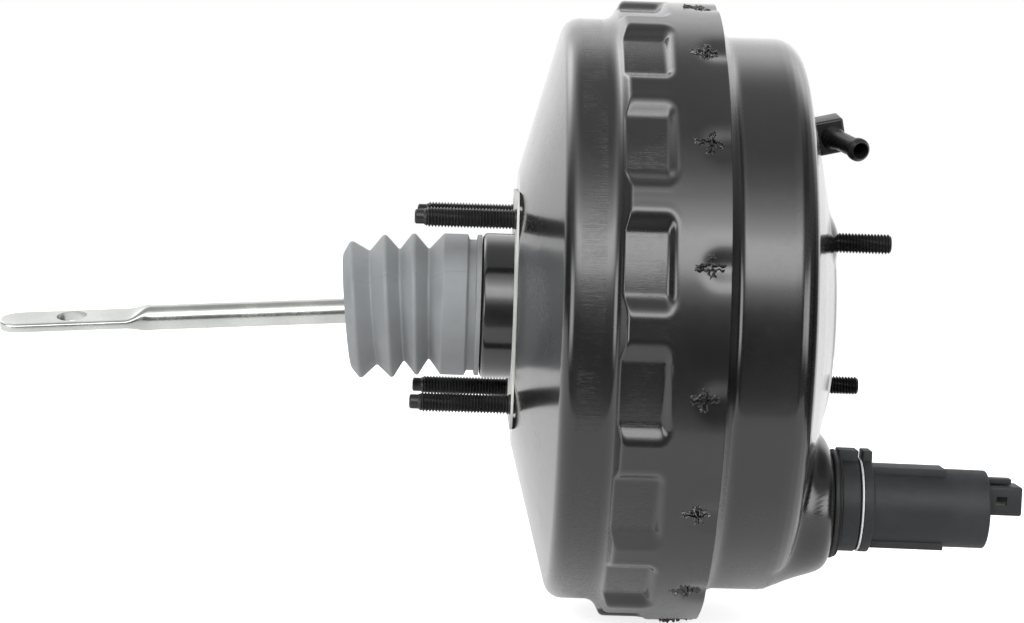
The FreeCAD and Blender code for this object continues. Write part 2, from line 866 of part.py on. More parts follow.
def boot_ring(x, radius):
    """Circle of the bellows at x, dropped and tilted towards the hanging rod."""
    share = (boot_collar_x - x) / (boot_collar_x - boot_end_x)
    share = min(max(share, 0.0), 1.0)
    drop = boot_drop * (1.5 * share ** 2 - 0.5 * share ** 3)
    tilt = math.radians(boot_tilt) * (1 - (1 - share) ** 2)
    centre = Vector(x, 0, -drop)
    return Part.Wire(Part.makeCircle(radius, centre, Vector(math.cos(tilt), 0, math.sin(tilt))))


def make_boot():
    """Rubber bellows: a collar stretched over the neck's spigot and folds that follow the rod."""
    end_x = -neck_length - boot_lip_gap
    spigot_x = -neck_length - spigot_length
    groove_x = boot_groove_x + boot_groove_length
    fit_r = spigot_r + boot_fit
    folds = list(boot_folds)
    outside = [boot_ring(x, r) for x, r in folds] + [boot_ring(boot_collar_x, boot_collar_r)]
    inside = [boot_ring(folds[0][0] + boot_wall, folds[0][1] - boot_wall)]
    inside += [boot_ring(x, r - boot_wall) for x, r in folds[1:]]
    inside += [boot_ring(boot_collar_x, boot_collar_r - boot_wall)]
    bellows = Part.makeLoft(outside, True, True).cut(Part.makeLoft(inside, True, True))
    collar = turned([
        (boot_collar_x, boot_collar_r - boot_wall), (boot_collar_x, boot_collar_r),
        (boot_groove_x, boot_collar_r, 0.5), (boot_groove_x, boot_groove_r),
        (groove_x, boot_groove_r), (groove_x, boot_collar_r, 0.4), (end_x, boot_collar_r, 0.4),
        (end_x, fit_r, corner_gap), (spigot_x, fit_r), (spigot_x - 1, boot_collar_r - 2 * boot_wall),
    ])
    hub_back, hub_front = boot_end_x - boot_hub_back, boot_end_x + boot_hub_front
    hole = drooped(rod(rod_r + boot_fit, hub_back - boot_wall, hub_front + boot_wall))
    hub = drooped(ring(hub_back, hub_front, rod_r + boot_fit, boot_hub_r))
    return bellows.fuse([collar, hub]).cut(hole).removeSplitter()


def make_input_rod():
    """Push rod: ball, neck, shank, taper and a flattened tang with the pedal pin's hole."""
    ball = Part.makeSphere(ball_r, Vector(pivot_x, 0, 0))
    taper_x = rod_round_end_x - rod_taper
    shank = turned([
        (pivot_x, 0), (pivot_x, rod_neck_r), (rod_neck_x, rod_neck_r, 0.5),
        (rod_neck_x - 1, rod_r, 0.5), (rod_round_end_x, rod_r), (rod_round_end_x, 0),
    ])
    half_w, half_t = tang_width / 2, tang_thick / 2
    round_end = Part.Wire(Part.makeCircle(rod_r, Vector(rod_round_end_x, 0, 0), axis_x))
    bend = half_t * 0.95
    straight = half_w - half_t

    def flat_section(x):
        points = [
            (straight, half_t), (half_w, 0), (straight, -half_t),
            (-straight, -half_t), (-half_w, 0), (-straight, half_t),
        ]
        spots = [Vector(x, y, z) for y, z in points]
        edges = [
            Part.Arc(spots[0], spots[1], spots[2]).toShape(),
            Part.LineSegment(spots[2], spots[3]).toShape(),
            Part.Arc(spots[3], spots[4], spots[5]).toShape(),
            Part.LineSegment(spots[5], spots[0]).toShape(),
        ]
        return Part.Wire(edges)

    taper = Part.makeLoft([round_end, flat_section(taper_x)], True)
    tang = Part.Face(flat_section(taper_x)).extrude(Vector(rod_tip_x - taper_x, 0, 0))
    nose = Part.makeCylinder(half_w, tang_thick, Vector(rod_tip_x + half_w, 0, -half_t))
    keep = block(rod_tip_x + half_w, taper_x + 1, -half_w, half_w, -half_t, half_t)
    tang = tang.common(nose.fuse(keep))
    hole = Part.makeCylinder(pin_hole_r, tang_thick + 2 * bend, Vector(pin_x, 0, -half_t - bend))
    flat = taper.fuse(tang).cut(hole)
    flat.rotate(origin, axis_x, tang_turn)
    return drooped(ball.fuse([shank, flat]).removeSplitter())


def make_vacuum_grommet():
    """Rubber grommet in the dome, with a groove that grips the sheet."""
    bore = elbow_stem_r + seat_gap
    neck = grommet_hole_r - 2 * seat_gap
    return at_elbow(turned([
        (-sheet - 2.6, bore), (-sheet - 2.6, grommet_hole_r + 1.2, 0.6),
        (-sheet - grommet_gap, grommet_hole_r + 1.6), (-sheet - grommet_gap, neck),
        (grommet_gap, neck), (grommet_gap, grommet_flange_r),
        (grommet_flange, grommet_flange_r - 0.6, 0.8), (grommet_flange, bore),
    ]))


def make_vacuum_elbow():
    """Moulded elbow: stem in the grommet, square body and the hose tube with its barb."""
    along, across, high = elbow_block
    x0 = grommet_flange + seat_gap
    body = block(x0, x0 + along, -across / 2, across / 2, -high / 2, high / 2)
    far = [e for e in body.Edges if e.CenterOfMass.x > x0 + along - 0.01]
    body = body.makeFillet(elbow_block_round, far)
    body.rotate(origin, axis_x, hose_drop)
    middle = Vector(x0 + along / 2, 0, 0)
    yaw, drop = math.radians(hose_yaw), math.radians(hose_drop)
    way = Vector(math.sin(yaw), -math.cos(yaw) * math.cos(drop), -math.cos(yaw) * math.sin(drop))
    tilt_back = Rotation(axis_x.cross(Vector(0, elbow_y, elbow_z)), -elbow_tilt)
    way = tilt_back.multVec(way)
    barb_x = hose_length - barb_length
    tube = aimed(turned([
        (0, 0), (0, hose_root_r), (across / 2, hose_root_r), (across / 2 + hose_root_length, hose_r),
        (barb_x, hose_r), (barb_x + barb_rise, barb_r), (barb_x + barb_rise + barb_land, barb_r),
        (hose_length, barb_tip_r), (hose_length, 0),
    ]), middle, way)
    stem = rod(elbow_stem_r, -sheet - elbow_stem, x0 + 1)
    bore = rod(hose_bore_r, -sheet - elbow_stem - 1, x0 + along / 2)
    hose_bore = Part.makeCylinder(hose_bore_r, hose_length + 1, middle, way)
    shape = body.fuse([tube, stem]).removeSplitter().cut([bore, hose_bore])
    return at_elbow(shape)


def make_sensor_grommet():
    """Ribbed rubber grommet between the boss and the sensor's adapter ring."""
    inner = adapter_neck_r
    hole = sensor_hole_r - seat_gap
    back, front = boss_x - sheet, boss_x
    valley = sensor_rib_r - 1.6
    corners = [
        (back - 2.4, inner), (back - 2.4, hole + 1.6, 0.8), (back - seat_gap, hole + 2.0),
        (back - seat_gap, hole), (front + seat_gap, hole), (front + seat_gap, sensor_rib_r, 0.9),
        (front + seat_gap + sensor_rib, sensor_rib_r, 0.8), (front + sensor_rib + 0.3, valley),
        (adapter_x - 0.3, valley), (adapter_x - seat_gap, valley - 0.4), (adapter_x - seat_gap, inner),
    ]
    return at_sensor(turned(corners))


def lug(x0, x1, base_r):
    """Square lug on the top of a sensor ring."""
    half = lug_width / 2
    return block(x0, x1, -half, half, base_r - 4, base_r + lug_height)


def make_adapter_ring():
    """Adapter ring with its top lug and the neck pushed into the grommet."""
    x1 = adapter_x + adapter_length
    shape = ring(adapter_x, x1, adapter_neck_r - 2, adapter_r)
    shape = shape.fuse([
        ring(boss_x - 2, adapter_x, adapter_neck_r - 2, adapter_neck_r - seat_gap),
        lug(adapter_x, x1, adapter_r),
    ])
    bore = rod(adapter_neck_r - 2, boss_x - 3, x1 + 1)
    return at_sensor(shape.cut(bore).removeSplitter())


def make_wire_ring():
    """Round wire snap ring in the gap between adapter ring and sensor flange."""
    x = adapter_x + adapter_length + wire_ring_space / 2
    return at_sensor(Part.makeTorus(adapter_r - wire_ring_r, wire_ring_r, Vector(x, 0, 0), axis_x))


def make_sensor_housing():
    """Sensor body: flange with lug, inner spigot, round barrel with two flats and the plug shroud."""
    flange_x0 = adapter_x + adapter_length + wire_ring_space
    flange_x1 = flange_x0 + flange_length
    shape = rod(adapter_r, flange_x0, flange_x1)
    shape = shape.fuse([
        lug(flange_x0, flange_x1, adapter_r),
        rod(adapter_neck_r - 2.05, boss_x, flange_x0 + 1),
        rod(adapter_r - 2 * wire_ring_r - 0.6, flange_x0 - wire_ring_space + 0.02, flange_x0 + 1),
        rod(body_r, flange_x1 - 1, body_end_x),
    ])
    half = pad_width / 2
    for side in (1, -1):
        z = sorted((side * (body_r - 3), side * (body_r + pad_proud)))
        shape = shape.fuse(block(flange_x1 - 0.5, flange_x1 + pad_length, -half, half, z[0], z[1]))
    plug_z0 = plug_rise - plug_height / 2
    plug_z1 = plug_rise + plug_height / 2
    half = plug_width / 2
    end_x = body_end_x + plug_length
    plug = block(body_end_x - 1, end_x, -half, half, plug_z0, plug_z1)
    ends = [e for e in plug.Edges if e.CenterOfMass.x > end_x - 0.01 or abs(e.tangentAt(0).x) > 0.99]
    plug = plug.makeFillet(0.9, ends)
    cavity = block(
        body_end_x + 0.5, end_x + 1, -half + plug_wall, half - plug_wall,
        plug_z0 + plug_wall, plug_z1 - plug_wall,
    )
    window_x = body_end_x + plug_window_x
    window = block(window_x, window_x + plug_window_length, -half - 1, -half + plug_wall + 1,
                   plug_rise - plug_window_height / 2, plug_rise + plug_window_height / 2)
    tab_z = plug_z1 + plug_tab_gap
    tab = block(body_end_x - 1, body_end_x + plug_tab_length, -plug_tab_width / 2,
                plug_tab_width / 2, tab_z, tab_z + plug_tab_height)
    tab_root = block(body_end_x - 1, body_end_x + 1.2, -plug_tab_width / 2, plug_tab_width / 2,
                     plug_z1 - 1, tab_z + 0.5)
    shape = shape.fuse([plug, tab, tab_root]).removeSplitter().cut([cavity, window])
    bore = ring(boss_x - 1, body_end_x - 3, 0, body_bore_r)
    return at_sensor(shape.cut(bore))


def make_terminals():
    """Blade contacts that stand in the plug shroud."""
    z = plug_rise
    half = terminal / 2
    pins = [
        block(body_end_x + 0.5, body_end_x + 8.0, y - half, y + half, z - half, z + half)
        for y in (-terminal_pitch, 0, terminal_pitch)
    ]
    return at_sensor(Part.makeCompound(pins))


def probe_tip_x():
    """Where the sensor's probe meets the diaphragm plate, measured along the sensor's axis."""
    reach = math.hypot(sensor_y, sensor_z)
    slope = (plate_edge_x - plate_x) / (plate_edge_r - plate_cone_r)
    tilt = math.radians(sensor_tilt)
    plate_front = plate_x + plate_sheet
    lean = (boss_x - plate_front) * math.tan(tilt)
    hit_r = reach - lean
    front = plate_front + max(hit_r + probe_r - plate_cone_r, 0) * slope
    return boss_x - (boss_x - front) / math.cos(tilt) + probe_gap


def make_probe():
    """Sensor probe: a rod from the diaphragm plate into the sensor, with its sliding head."""
    shape = rod(probe_r, probe_tip_x(), probe_back_x - 1)
    head = rod(body_bore_r - running_gap, probe_back_x - probe_head, probe_back_x)
    return at_sensor(shape.fuse(head).removeSplitter())


def main():
    os.makedirs("parts", exist_ok=True)
    save("rear_shell", make_rear_shell())
    save("front_shell", make_front_shell())
    save("mounting_gasket", make_gasket())
    save("rear_stud_plate", make_rear_stud_plate())
    save("rear_studs", make_studs(rear_points, sheet + stud_plate, 0, -rear_stud_length, True))
    save("front_stud_plate", make_front_stud_plate())
    front_seat_x = pad_x - sheet - plate_sheet
    front_tip_x = pad_x + front_stud_length
    save("front_studs", make_studs(front_points, front_seat_x, pad_x, front_tip_x, False))
    seal, bush, keeper = make_neck_parts()
    save("neck_seal", seal)
    save("neck_bush", bush)
    save("neck_retainer", keeper)
    save("diaphragm", make_diaphragm())
    main_back = plate_x + plate_sheet
    save("return_spring", helix_spring(main_spring, main_turns, main_back, front_seat_x))
    save("front_seal", make_front_seal())
    save("vacuum_grommet", make_vacuum_grommet())
    save("vacuum_elbow", make_vacuum_elbow())
    save("sensor_grommet", make_sensor_grommet())
    save("sensor_adapter_ring", make_adapter_ring())
    save("sensor_wire_ring", make_wire_ring())
    save("sensor_housing", make_sensor_housing())
    save("sensor_terminals", make_terminals())

    save("valve_body", make_valve_body())
    save("diaphragm_plate", make_diaphragm_plate())
    save("plate_retainer", make_plate_retainer())
    save("plunger_key", make_key())
    save("reaction_disc", rod(disc_r - seat_gap, disc_x, disc_x + disc_length))
    save("output_rod", make_output_rod())
    save("output_rod_retainer", make_output_retainer())
    save("output_rod_tip", make_output_tip())
    save("poppet_valve", make_poppet())
    save("poppet_retainer", make_poppet_retainer())
    cup_back = poppet_back_x - poppet_length - poppet_cup
    washer_front = washer_x + washer_thick
    spring_back = washer_front + spring_seat
    save("rod_return_spring", helix_spring(rod_spring, rod_turns, spring_back, cup_back))
    save("poppet_spring", helix_spring(poppet_spring, poppet_turns, spring_back, poppet_back_x))
    keeper_x = tube_back_x + filter_back
    filter_x = keeper_x + filter_keeper
    silencer_x = filter_x + filter_length
    save("air_filter", tube_fitting(filter_x, silencer_x, filter_bore_r))
    save("silencer", tube_fitting(silencer_x, silencer_x + silencer_length, filter_bore_r))
    save("filter_retainer", tube_fitting(keeper_x, filter_x, filter_keeper_r))

    save("valve_plunger", make_plunger())
    save("input_rod", make_input_rod())
    save("rod_washer", drooped(ring(washer_x, washer_front, rod_r + seat_gap, washer_r)))
    save("boot", make_boot())

    save("sensor_probe", make_probe())
    spring_end = body_end_x - 3
    save("probe_spring", at_sensor(helix_spring(probe_spring, probe_turns, probe_back_x, spring_end)))


main()
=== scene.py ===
import json
import logging
import math
from collections.abc import Callable
from dataclasses import dataclass
from enum import Enum

import bmesh
import bpy
import numpy as np
from mathutils import Matrix, Vector


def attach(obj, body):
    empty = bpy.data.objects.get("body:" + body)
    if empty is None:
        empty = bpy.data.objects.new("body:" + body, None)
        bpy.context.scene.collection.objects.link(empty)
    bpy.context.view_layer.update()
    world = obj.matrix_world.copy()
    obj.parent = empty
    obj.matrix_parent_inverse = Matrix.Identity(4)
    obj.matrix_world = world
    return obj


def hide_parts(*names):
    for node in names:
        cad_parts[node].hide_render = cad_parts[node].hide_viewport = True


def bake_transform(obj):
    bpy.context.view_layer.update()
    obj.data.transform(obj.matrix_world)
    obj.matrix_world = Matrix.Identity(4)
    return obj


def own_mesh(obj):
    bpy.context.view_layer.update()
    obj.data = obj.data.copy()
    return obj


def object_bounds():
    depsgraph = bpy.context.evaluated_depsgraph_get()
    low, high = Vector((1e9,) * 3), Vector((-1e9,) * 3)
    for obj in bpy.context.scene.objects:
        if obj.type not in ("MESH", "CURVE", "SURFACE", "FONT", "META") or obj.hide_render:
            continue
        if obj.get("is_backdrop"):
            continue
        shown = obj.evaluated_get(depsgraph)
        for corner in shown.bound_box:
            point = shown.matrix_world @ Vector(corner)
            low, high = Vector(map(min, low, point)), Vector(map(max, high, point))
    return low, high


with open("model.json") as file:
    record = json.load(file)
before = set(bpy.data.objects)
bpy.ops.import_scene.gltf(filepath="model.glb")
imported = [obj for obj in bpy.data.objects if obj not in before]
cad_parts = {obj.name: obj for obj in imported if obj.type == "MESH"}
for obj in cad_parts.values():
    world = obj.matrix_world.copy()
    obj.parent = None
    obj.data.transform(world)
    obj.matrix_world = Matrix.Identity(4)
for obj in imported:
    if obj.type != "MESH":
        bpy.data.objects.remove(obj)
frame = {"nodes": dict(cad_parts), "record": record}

log = logging.getLogger("booster")
MM = 0.001
TAU = 2 * math.pi
PLAIN_SHARP = 35.0
BEVEL_SHARP = 50.0


class Body(Enum):
    """The rigid groups that pieces ride on."""

    HOUSING = "housing"
    PISTON = "piston"
    PLUNGER = "plunger"
    ROD = "input_rod"
    PROBE = "sensor_probe"


class Pattern(Enum):
    """Which relief a finish has over its whole surface."""

    PEEL = "orange_peel"
    BRUSHED = "brushed"
    GRAIN = "moulded_grain"


@dataclass(frozen=True)
class Finish:
    """One surface finish: plain shader constants, and how strongly its effects show.

    Attributes:
        slot: material slot of the record that pieces with this finish name.
        light: base colour where the finish is cleanest.
        dark: base colour in its darker cloudy patches.
        rough: lowest and highest roughness of the mottled surface.
        pattern: relief over the whole surface.
        relief: height of that relief, in metres.
        scale: size of that relief, in features per metre.
        metallic: how metallic the surface is, from 0 to 1.
        coat: weight of the clear coat.
        coat_rough: roughness of the clear coat.
        specular: the shader's specular level.
    """

    slot: str
    light: tuple[float, float, float]
    dark: tuple[float, float, float]
    rough: tuple[float, float]
    pattern: Pattern = Pattern.GRAIN
    relief: float = 0.00001
    scale: float = 2200.0
    metallic: float = 0.0
    coat: float = 0.0
    coat_rough: float = 0.12
    specular: float = 0.5


PAINT = Finish("black_paint", (0.008, 0.008, 0.0088), (0.006, 0.006, 0.0066), (0.20, 0.28),
               Pattern.PEEL, 0.0000015, 420.0, coat=1.0, coat_rough=0.13)
STUD = Finish("black_zinc", (0.040, 0.040, 0.042), (0.018, 0.018, 0.019), (0.24, 0.36),
              Pattern.GRAIN, 0.000006, 3200.0, metallic=0.5)
ZINC = Finish("zinc", (0.72, 0.735, 0.70), (0.60, 0.615, 0.585), (0.20, 0.30),
              Pattern.BRUSHED, 0.0000018, 3600.0, metallic=1.0)
STEEL = Finish("spring_steel", (0.40, 0.40, 0.41), (0.28, 0.28, 0.29), (0.25, 0.4),
               Pattern.BRUSHED, 0.000004, 4000.0, metallic=1.0)
GREY_RUBBER = Finish("grey_rubber", (0.30, 0.312, 0.322), (0.262, 0.273, 0.283), (0.48, 0.62),
                     Pattern.GRAIN, 0.00001, 2600.0)
BLACK_RUBBER = Finish("black_rubber", (0.016, 0.016, 0.016), (0.010, 0.010, 0.010), (0.42, 0.6),
                      Pattern.GRAIN, 0.00001, 2400.0)
GASKET = Finish("gasket_foam", (0.80, 0.81, 0.78), (0.66, 0.67, 0.64), (0.45, 0.65),
                Pattern.GRAIN, 0.00002, 1800.0)
SENSOR = Finish("sensor_plastic", (0.027, 0.029, 0.031), (0.019, 0.020, 0.022), (0.48, 0.60),
                Pattern.GRAIN, 0.000014, 2800.0, specular=0.4)
MOULDING = Finish("black_plastic", (0.020, 0.020, 0.021), (0.013, 0.013, 0.014), (0.24, 0.36),
                  Pattern.GRAIN, 0.000008, 2600.0)
PHENOLIC = Finish("valve_plastic", (0.12, 0.085, 0.06), (0.075, 0.052, 0.038), (0.35, 0.55),
                  Pattern.GRAIN, 0.00001, 1500.0)
WIRE = Finish("white_wire", (0.86, 0.87, 0.88), (0.78, 0.79, 0.80), (0.22, 0.34),
              Pattern.PEEL, 0.000003, 1800.0)
CONTACT = Finish("brass_contact", (0.46, 0.43, 0.37), (0.34, 0.31, 0.26), (0.3, 0.44),
                 Pattern.BRUSHED, 0.000004, 6000.0, metallic=1.0)
FELT = Finish("filter_felt", (0.50, 0.45, 0.37), (0.32, 0.28, 0.22), (0.8, 0.95),
              Pattern.GRAIN, 0.00012, 900.0)
DARK_FELT = Finish("silencer_felt", (0.20, 0.20, 0.20), (0.12, 0.12, 0.12), (0.8, 0.95),
                   Pattern.GRAIN, 0.00012, 900.0)

FINISHES = (PAINT, STUD, ZINC, STEEL, GREY_RUBBER, BLACK_RUBBER, GASKET, SENSOR, MOULDING,
            PHENOLIC, WIRE, CONTACT, FELT, DARK_FELT)


def new_group(name: str, inputs: dict[str, tuple[str, object]],
              outputs: dict[str, str]) -> tuple[bpy.types.NodeTree, bpy.types.Node, bpy.types.Node]:
    """Makes an empty shader node group with named sockets.

    Args:
        name: the group's name.
        inputs: socket name to its type and starting value.
        outputs: socket name to its type.

    Returns:
        The tree, its input node and its output node.
    """
    tree = bpy.data.node_groups.new(name, "ShaderNodeTree")
    for label, (kind, value) in inputs.items():
        socket = tree.interface.new_socket(label, in_out="INPUT", socket_type=kind)
        if value is not None:
            socket.default_value = value
    for label, kind in outputs.items():
        tree.interface.new_socket(label, in_out="OUTPUT", socket_type=kind)
    return tree, tree.nodes.new("NodeGroupInput"), tree.nodes.new("NodeGroupOutput")


def feed(tree: bpy.types.NodeTree, socket: bpy.types.NodeSocket, value: object) -> None:
    """Links a socket to an input where the value is one, and sets the input to it otherwise.

    Args:
        tree: the node tree that both are in.
        socket: the input to feed.
        value: a socket or a number.
    """
    if isinstance(value, bpy.types.NodeSocket):
        tree.links.new(value, socket)
    else:
        socket.default_value = value


def maths(tree: bpy.types.NodeTree, operation: str, *values: object) -> bpy.types.NodeSocket:
    """Adds a Math node.

    Args:
        tree: the node tree to add it to.
        operation: what the node works out.
        values: a number or a socket for each input.

    Returns:
        The node's output.
    """
    node = tree.nodes.new("ShaderNodeMath")
    node.operation = operation
    for socket, value in zip(node.inputs, values):
        feed(tree, socket, value)
    return node.outputs[0]


def map_range(tree: bpy.types.NodeTree, value: bpy.types.NodeSocket, low: float, high: float,
              to_low: object = 0.0, to_high: object = 1.0) -> bpy.types.NodeSocket:
    """Adds a smooth Map Range node.

    Args:
        tree: the node tree to add it to.
        value: the socket to map.
        low: where the range starts.
        high: where the range ends.
        to_low: result at the start, a number or a socket.
        to_high: result at the end, a number or a socket.

    Returns:
        The node's output.
    """
    node = tree.nodes.new("ShaderNodeMapRange")
    node.interpolation_type = "SMOOTHSTEP"
    tree.links.new(value, node.inputs["Value"])
    limits = {"From Min": low, "From Max": high, "To Min": to_low, "To Max": to_high}
    for label, limit in limits.items():
        feed(tree, node.inputs[label], limit)
    return node.outputs["Result"]


def noise(tree: bpy.types.NodeTree, vector: bpy.types.NodeSocket, scale: object,
          detail: float) -> bpy.types.NodeSocket:
    """Adds a Noise Texture.

    Args:
        tree: the node tree to add it to.
        vector: the coordinates.
        scale: features per metre, a number or a socket.
        detail: how many finer layers it has.

    Returns:
        The node's factor.
    """
    node = tree.nodes.new("ShaderNodeTexNoise")
    node.inputs["Detail"].default_value = detail
    tree.links.new(vector, node.inputs["Vector"])
    feed(tree, node.inputs["Scale"], scale)
    return node.outputs["Fac"]


def squeezed(tree: bpy.types.NodeTree, vector: bpy.types.NodeSocket,
             factors: tuple[float, float, float]) -> bpy.types.NodeSocket:
    """Multiplies coordinates axis by axis; a small factor draws a noise out along that axis.

    Args:
        tree: the node tree to add the node to.
        vector: the coordinates.
        factors: one factor for each axis.

    Returns:
        The multiplied coordinates.
    """
    node = tree.nodes.new("ShaderNodeVectorMath")
    node.operation = "MULTIPLY"
    node.inputs[1].default_value = factors
    tree.links.new(vector, node.inputs[0])
    return node.outputs[0]


def mottle_group() -> bpy.types.NodeTree:
    """Cloudy variation: a colour between two others, and a roughness between two limits.

    Returns:
        The node group.
    """
    low, high = 0.35, 0.65
    finer, cloud_share = 9.0, 0.6
    tree, source, sink = new_group(
        "mottle",
        {"Vector": ("NodeSocketVector", None), "Scale": ("NodeSocketFloat", 60.0),
         "Light": ("NodeSocketColor", None), "Dark": ("NodeSocketColor", None),
         "Smooth": ("NodeSocketFloat", 0.3), "Rough": ("NodeSocketFloat", 0.5)},
        {"Colour": "NodeSocketColor", "Roughness": "NodeSocketFloat"})
    cloud = noise(tree, source.outputs["Vector"], source.outputs["Scale"], 4.0)
    fine_scale = maths(tree, "MULTIPLY", source.outputs["Scale"], finer)
    fine = noise(tree, source.outputs["Vector"], fine_scale, 2.0)
    mix = tree.nodes.new("ShaderNodeMix")
    mix.data_type = "RGBA"
    tree.links.new(map_range(tree, cloud, low, high), mix.inputs["Factor"])
    tree.links.new(source.outputs["Dark"], mix.inputs["A"])
    tree.links.new(source.outputs["Light"], mix.inputs["B"])
    tree.links.new(mix.outputs["Result"], sink.inputs["Colour"])
    blend = maths(tree, "ADD", maths(tree, "MULTIPLY", cloud, cloud_share),
                  maths(tree, "MULTIPLY", fine, 1 - cloud_share))
    rough = map_range(tree, blend, low, high, source.outputs["Smooth"], source.outputs["Rough"])
    tree.links.new(rough, sink.inputs["Roughness"])
    return tree


def relief_group(pattern: Pattern) -> bpy.types.NodeTree:
    """Height from 0 to 1 of one relief: soft waves, fine lines along X, or moulded grain.

    Args:
        pattern: which of them.

    Returns:
        The node group.
    """
    tree, source, sink = new_group(
        f"relief_{pattern.value}",
        {"Vector": ("NodeSocketVector", None), "Scale": ("NodeSocketFloat", 1000.0)},
        {"Height": "NodeSocketFloat"})
    vector = source.outputs["Vector"]
    if pattern is Pattern.BRUSHED:
        drawn_out = squeezed(tree, vector, (0.03, 1.0, 1.0))
        height = noise(tree, drawn_out, source.outputs["Scale"], 3.0)
    elif pattern is Pattern.GRAIN:
        height = noise(tree, vector, source.outputs["Scale"], 4.0)
    else:
        height = noise(tree, vector, source.outputs["Scale"], 1.0)
    tree.links.new(height, sink.inputs["Height"])
    return tree


def drawn_marks_group() -> bpy.types.NodeTree:
    """Lines along X that drawing the sheet leaves, inside one stretch of X and one of radius.

    The mask is 1 where X lies between Start and End and the distance from the X axis lies between
    Low and High. Two noises squeezed along X, one long and one broken up, make the lines.

    Returns:
        The node group.
    """
    tree, source, sink = new_group(
        "drawn_marks",
        {"Vector": ("NodeSocketVector", None), "Start": ("NodeSocketFloat", 0.0),
         "End": ("NodeSocketFloat", 1.0), "Low": ("NodeSocketFloat", 0.0),
         "High": ("NodeSocketFloat", 1.0)},
        {"Mask": "NodeSocketFloat", "Height": "NodeSocketFloat"})
    split = tree.nodes.new("ShaderNodeSeparateXYZ")
    tree.links.new(source.outputs["Vector"], split.inputs[0])
    x, y, z = split.outputs
    radius = maths(tree, "SQRT", maths(tree, "ADD", maths(tree, "MULTIPLY", y, y),
                                       maths(tree, "MULTIPLY", z, z)))
    soft = 1.2 * MM

    def inside(value: bpy.types.NodeSocket, low: str, high: str) -> bpy.types.NodeSocket:
        """1 between two limits, with soft ends.

        Args:
            value: the socket to compare.
            low: name of the input with the lower limit.
            high: name of the input with the upper limit.

        Returns:
            The share as a socket.
        """
        rise = maths(tree, "DIVIDE", maths(tree, "SUBTRACT", value, source.outputs[low]), soft)
        fall = maths(tree, "DIVIDE", maths(tree, "SUBTRACT", source.outputs[high], value), soft)
        nearer = maths(tree, "MAXIMUM", maths(tree, "MINIMUM", rise, fall), 0.0)
        return maths(tree, "MINIMUM", nearer, 1.0)

    mask = maths(tree, "MULTIPLY", inside(x, "Start", "End"), inside(radius, "Low", "High"))
    patches = noise(tree, source.outputs["Vector"], 55.0, 2.0)
    patch = map_range(tree, patches, 0.42, 0.62, 0.25, 1.0)
    lines = []
    for along, scale in ((0.02, 1500.0), (0.10, 2600.0)):
        drawn_out = squeezed(tree, source.outputs["Vector"], (along, 1.0, 1.0))
        lines.append(map_range(tree, noise(tree, drawn_out, scale, 3.0), 0.45, 0.72))
    tree.links.new(maths(tree, "MULTIPLY", mask, patch), sink.inputs["Mask"])
    tree.links.new(maths(tree, "MAXIMUM", lines[0], lines[1]), sink.inputs["Height"])
    return tree


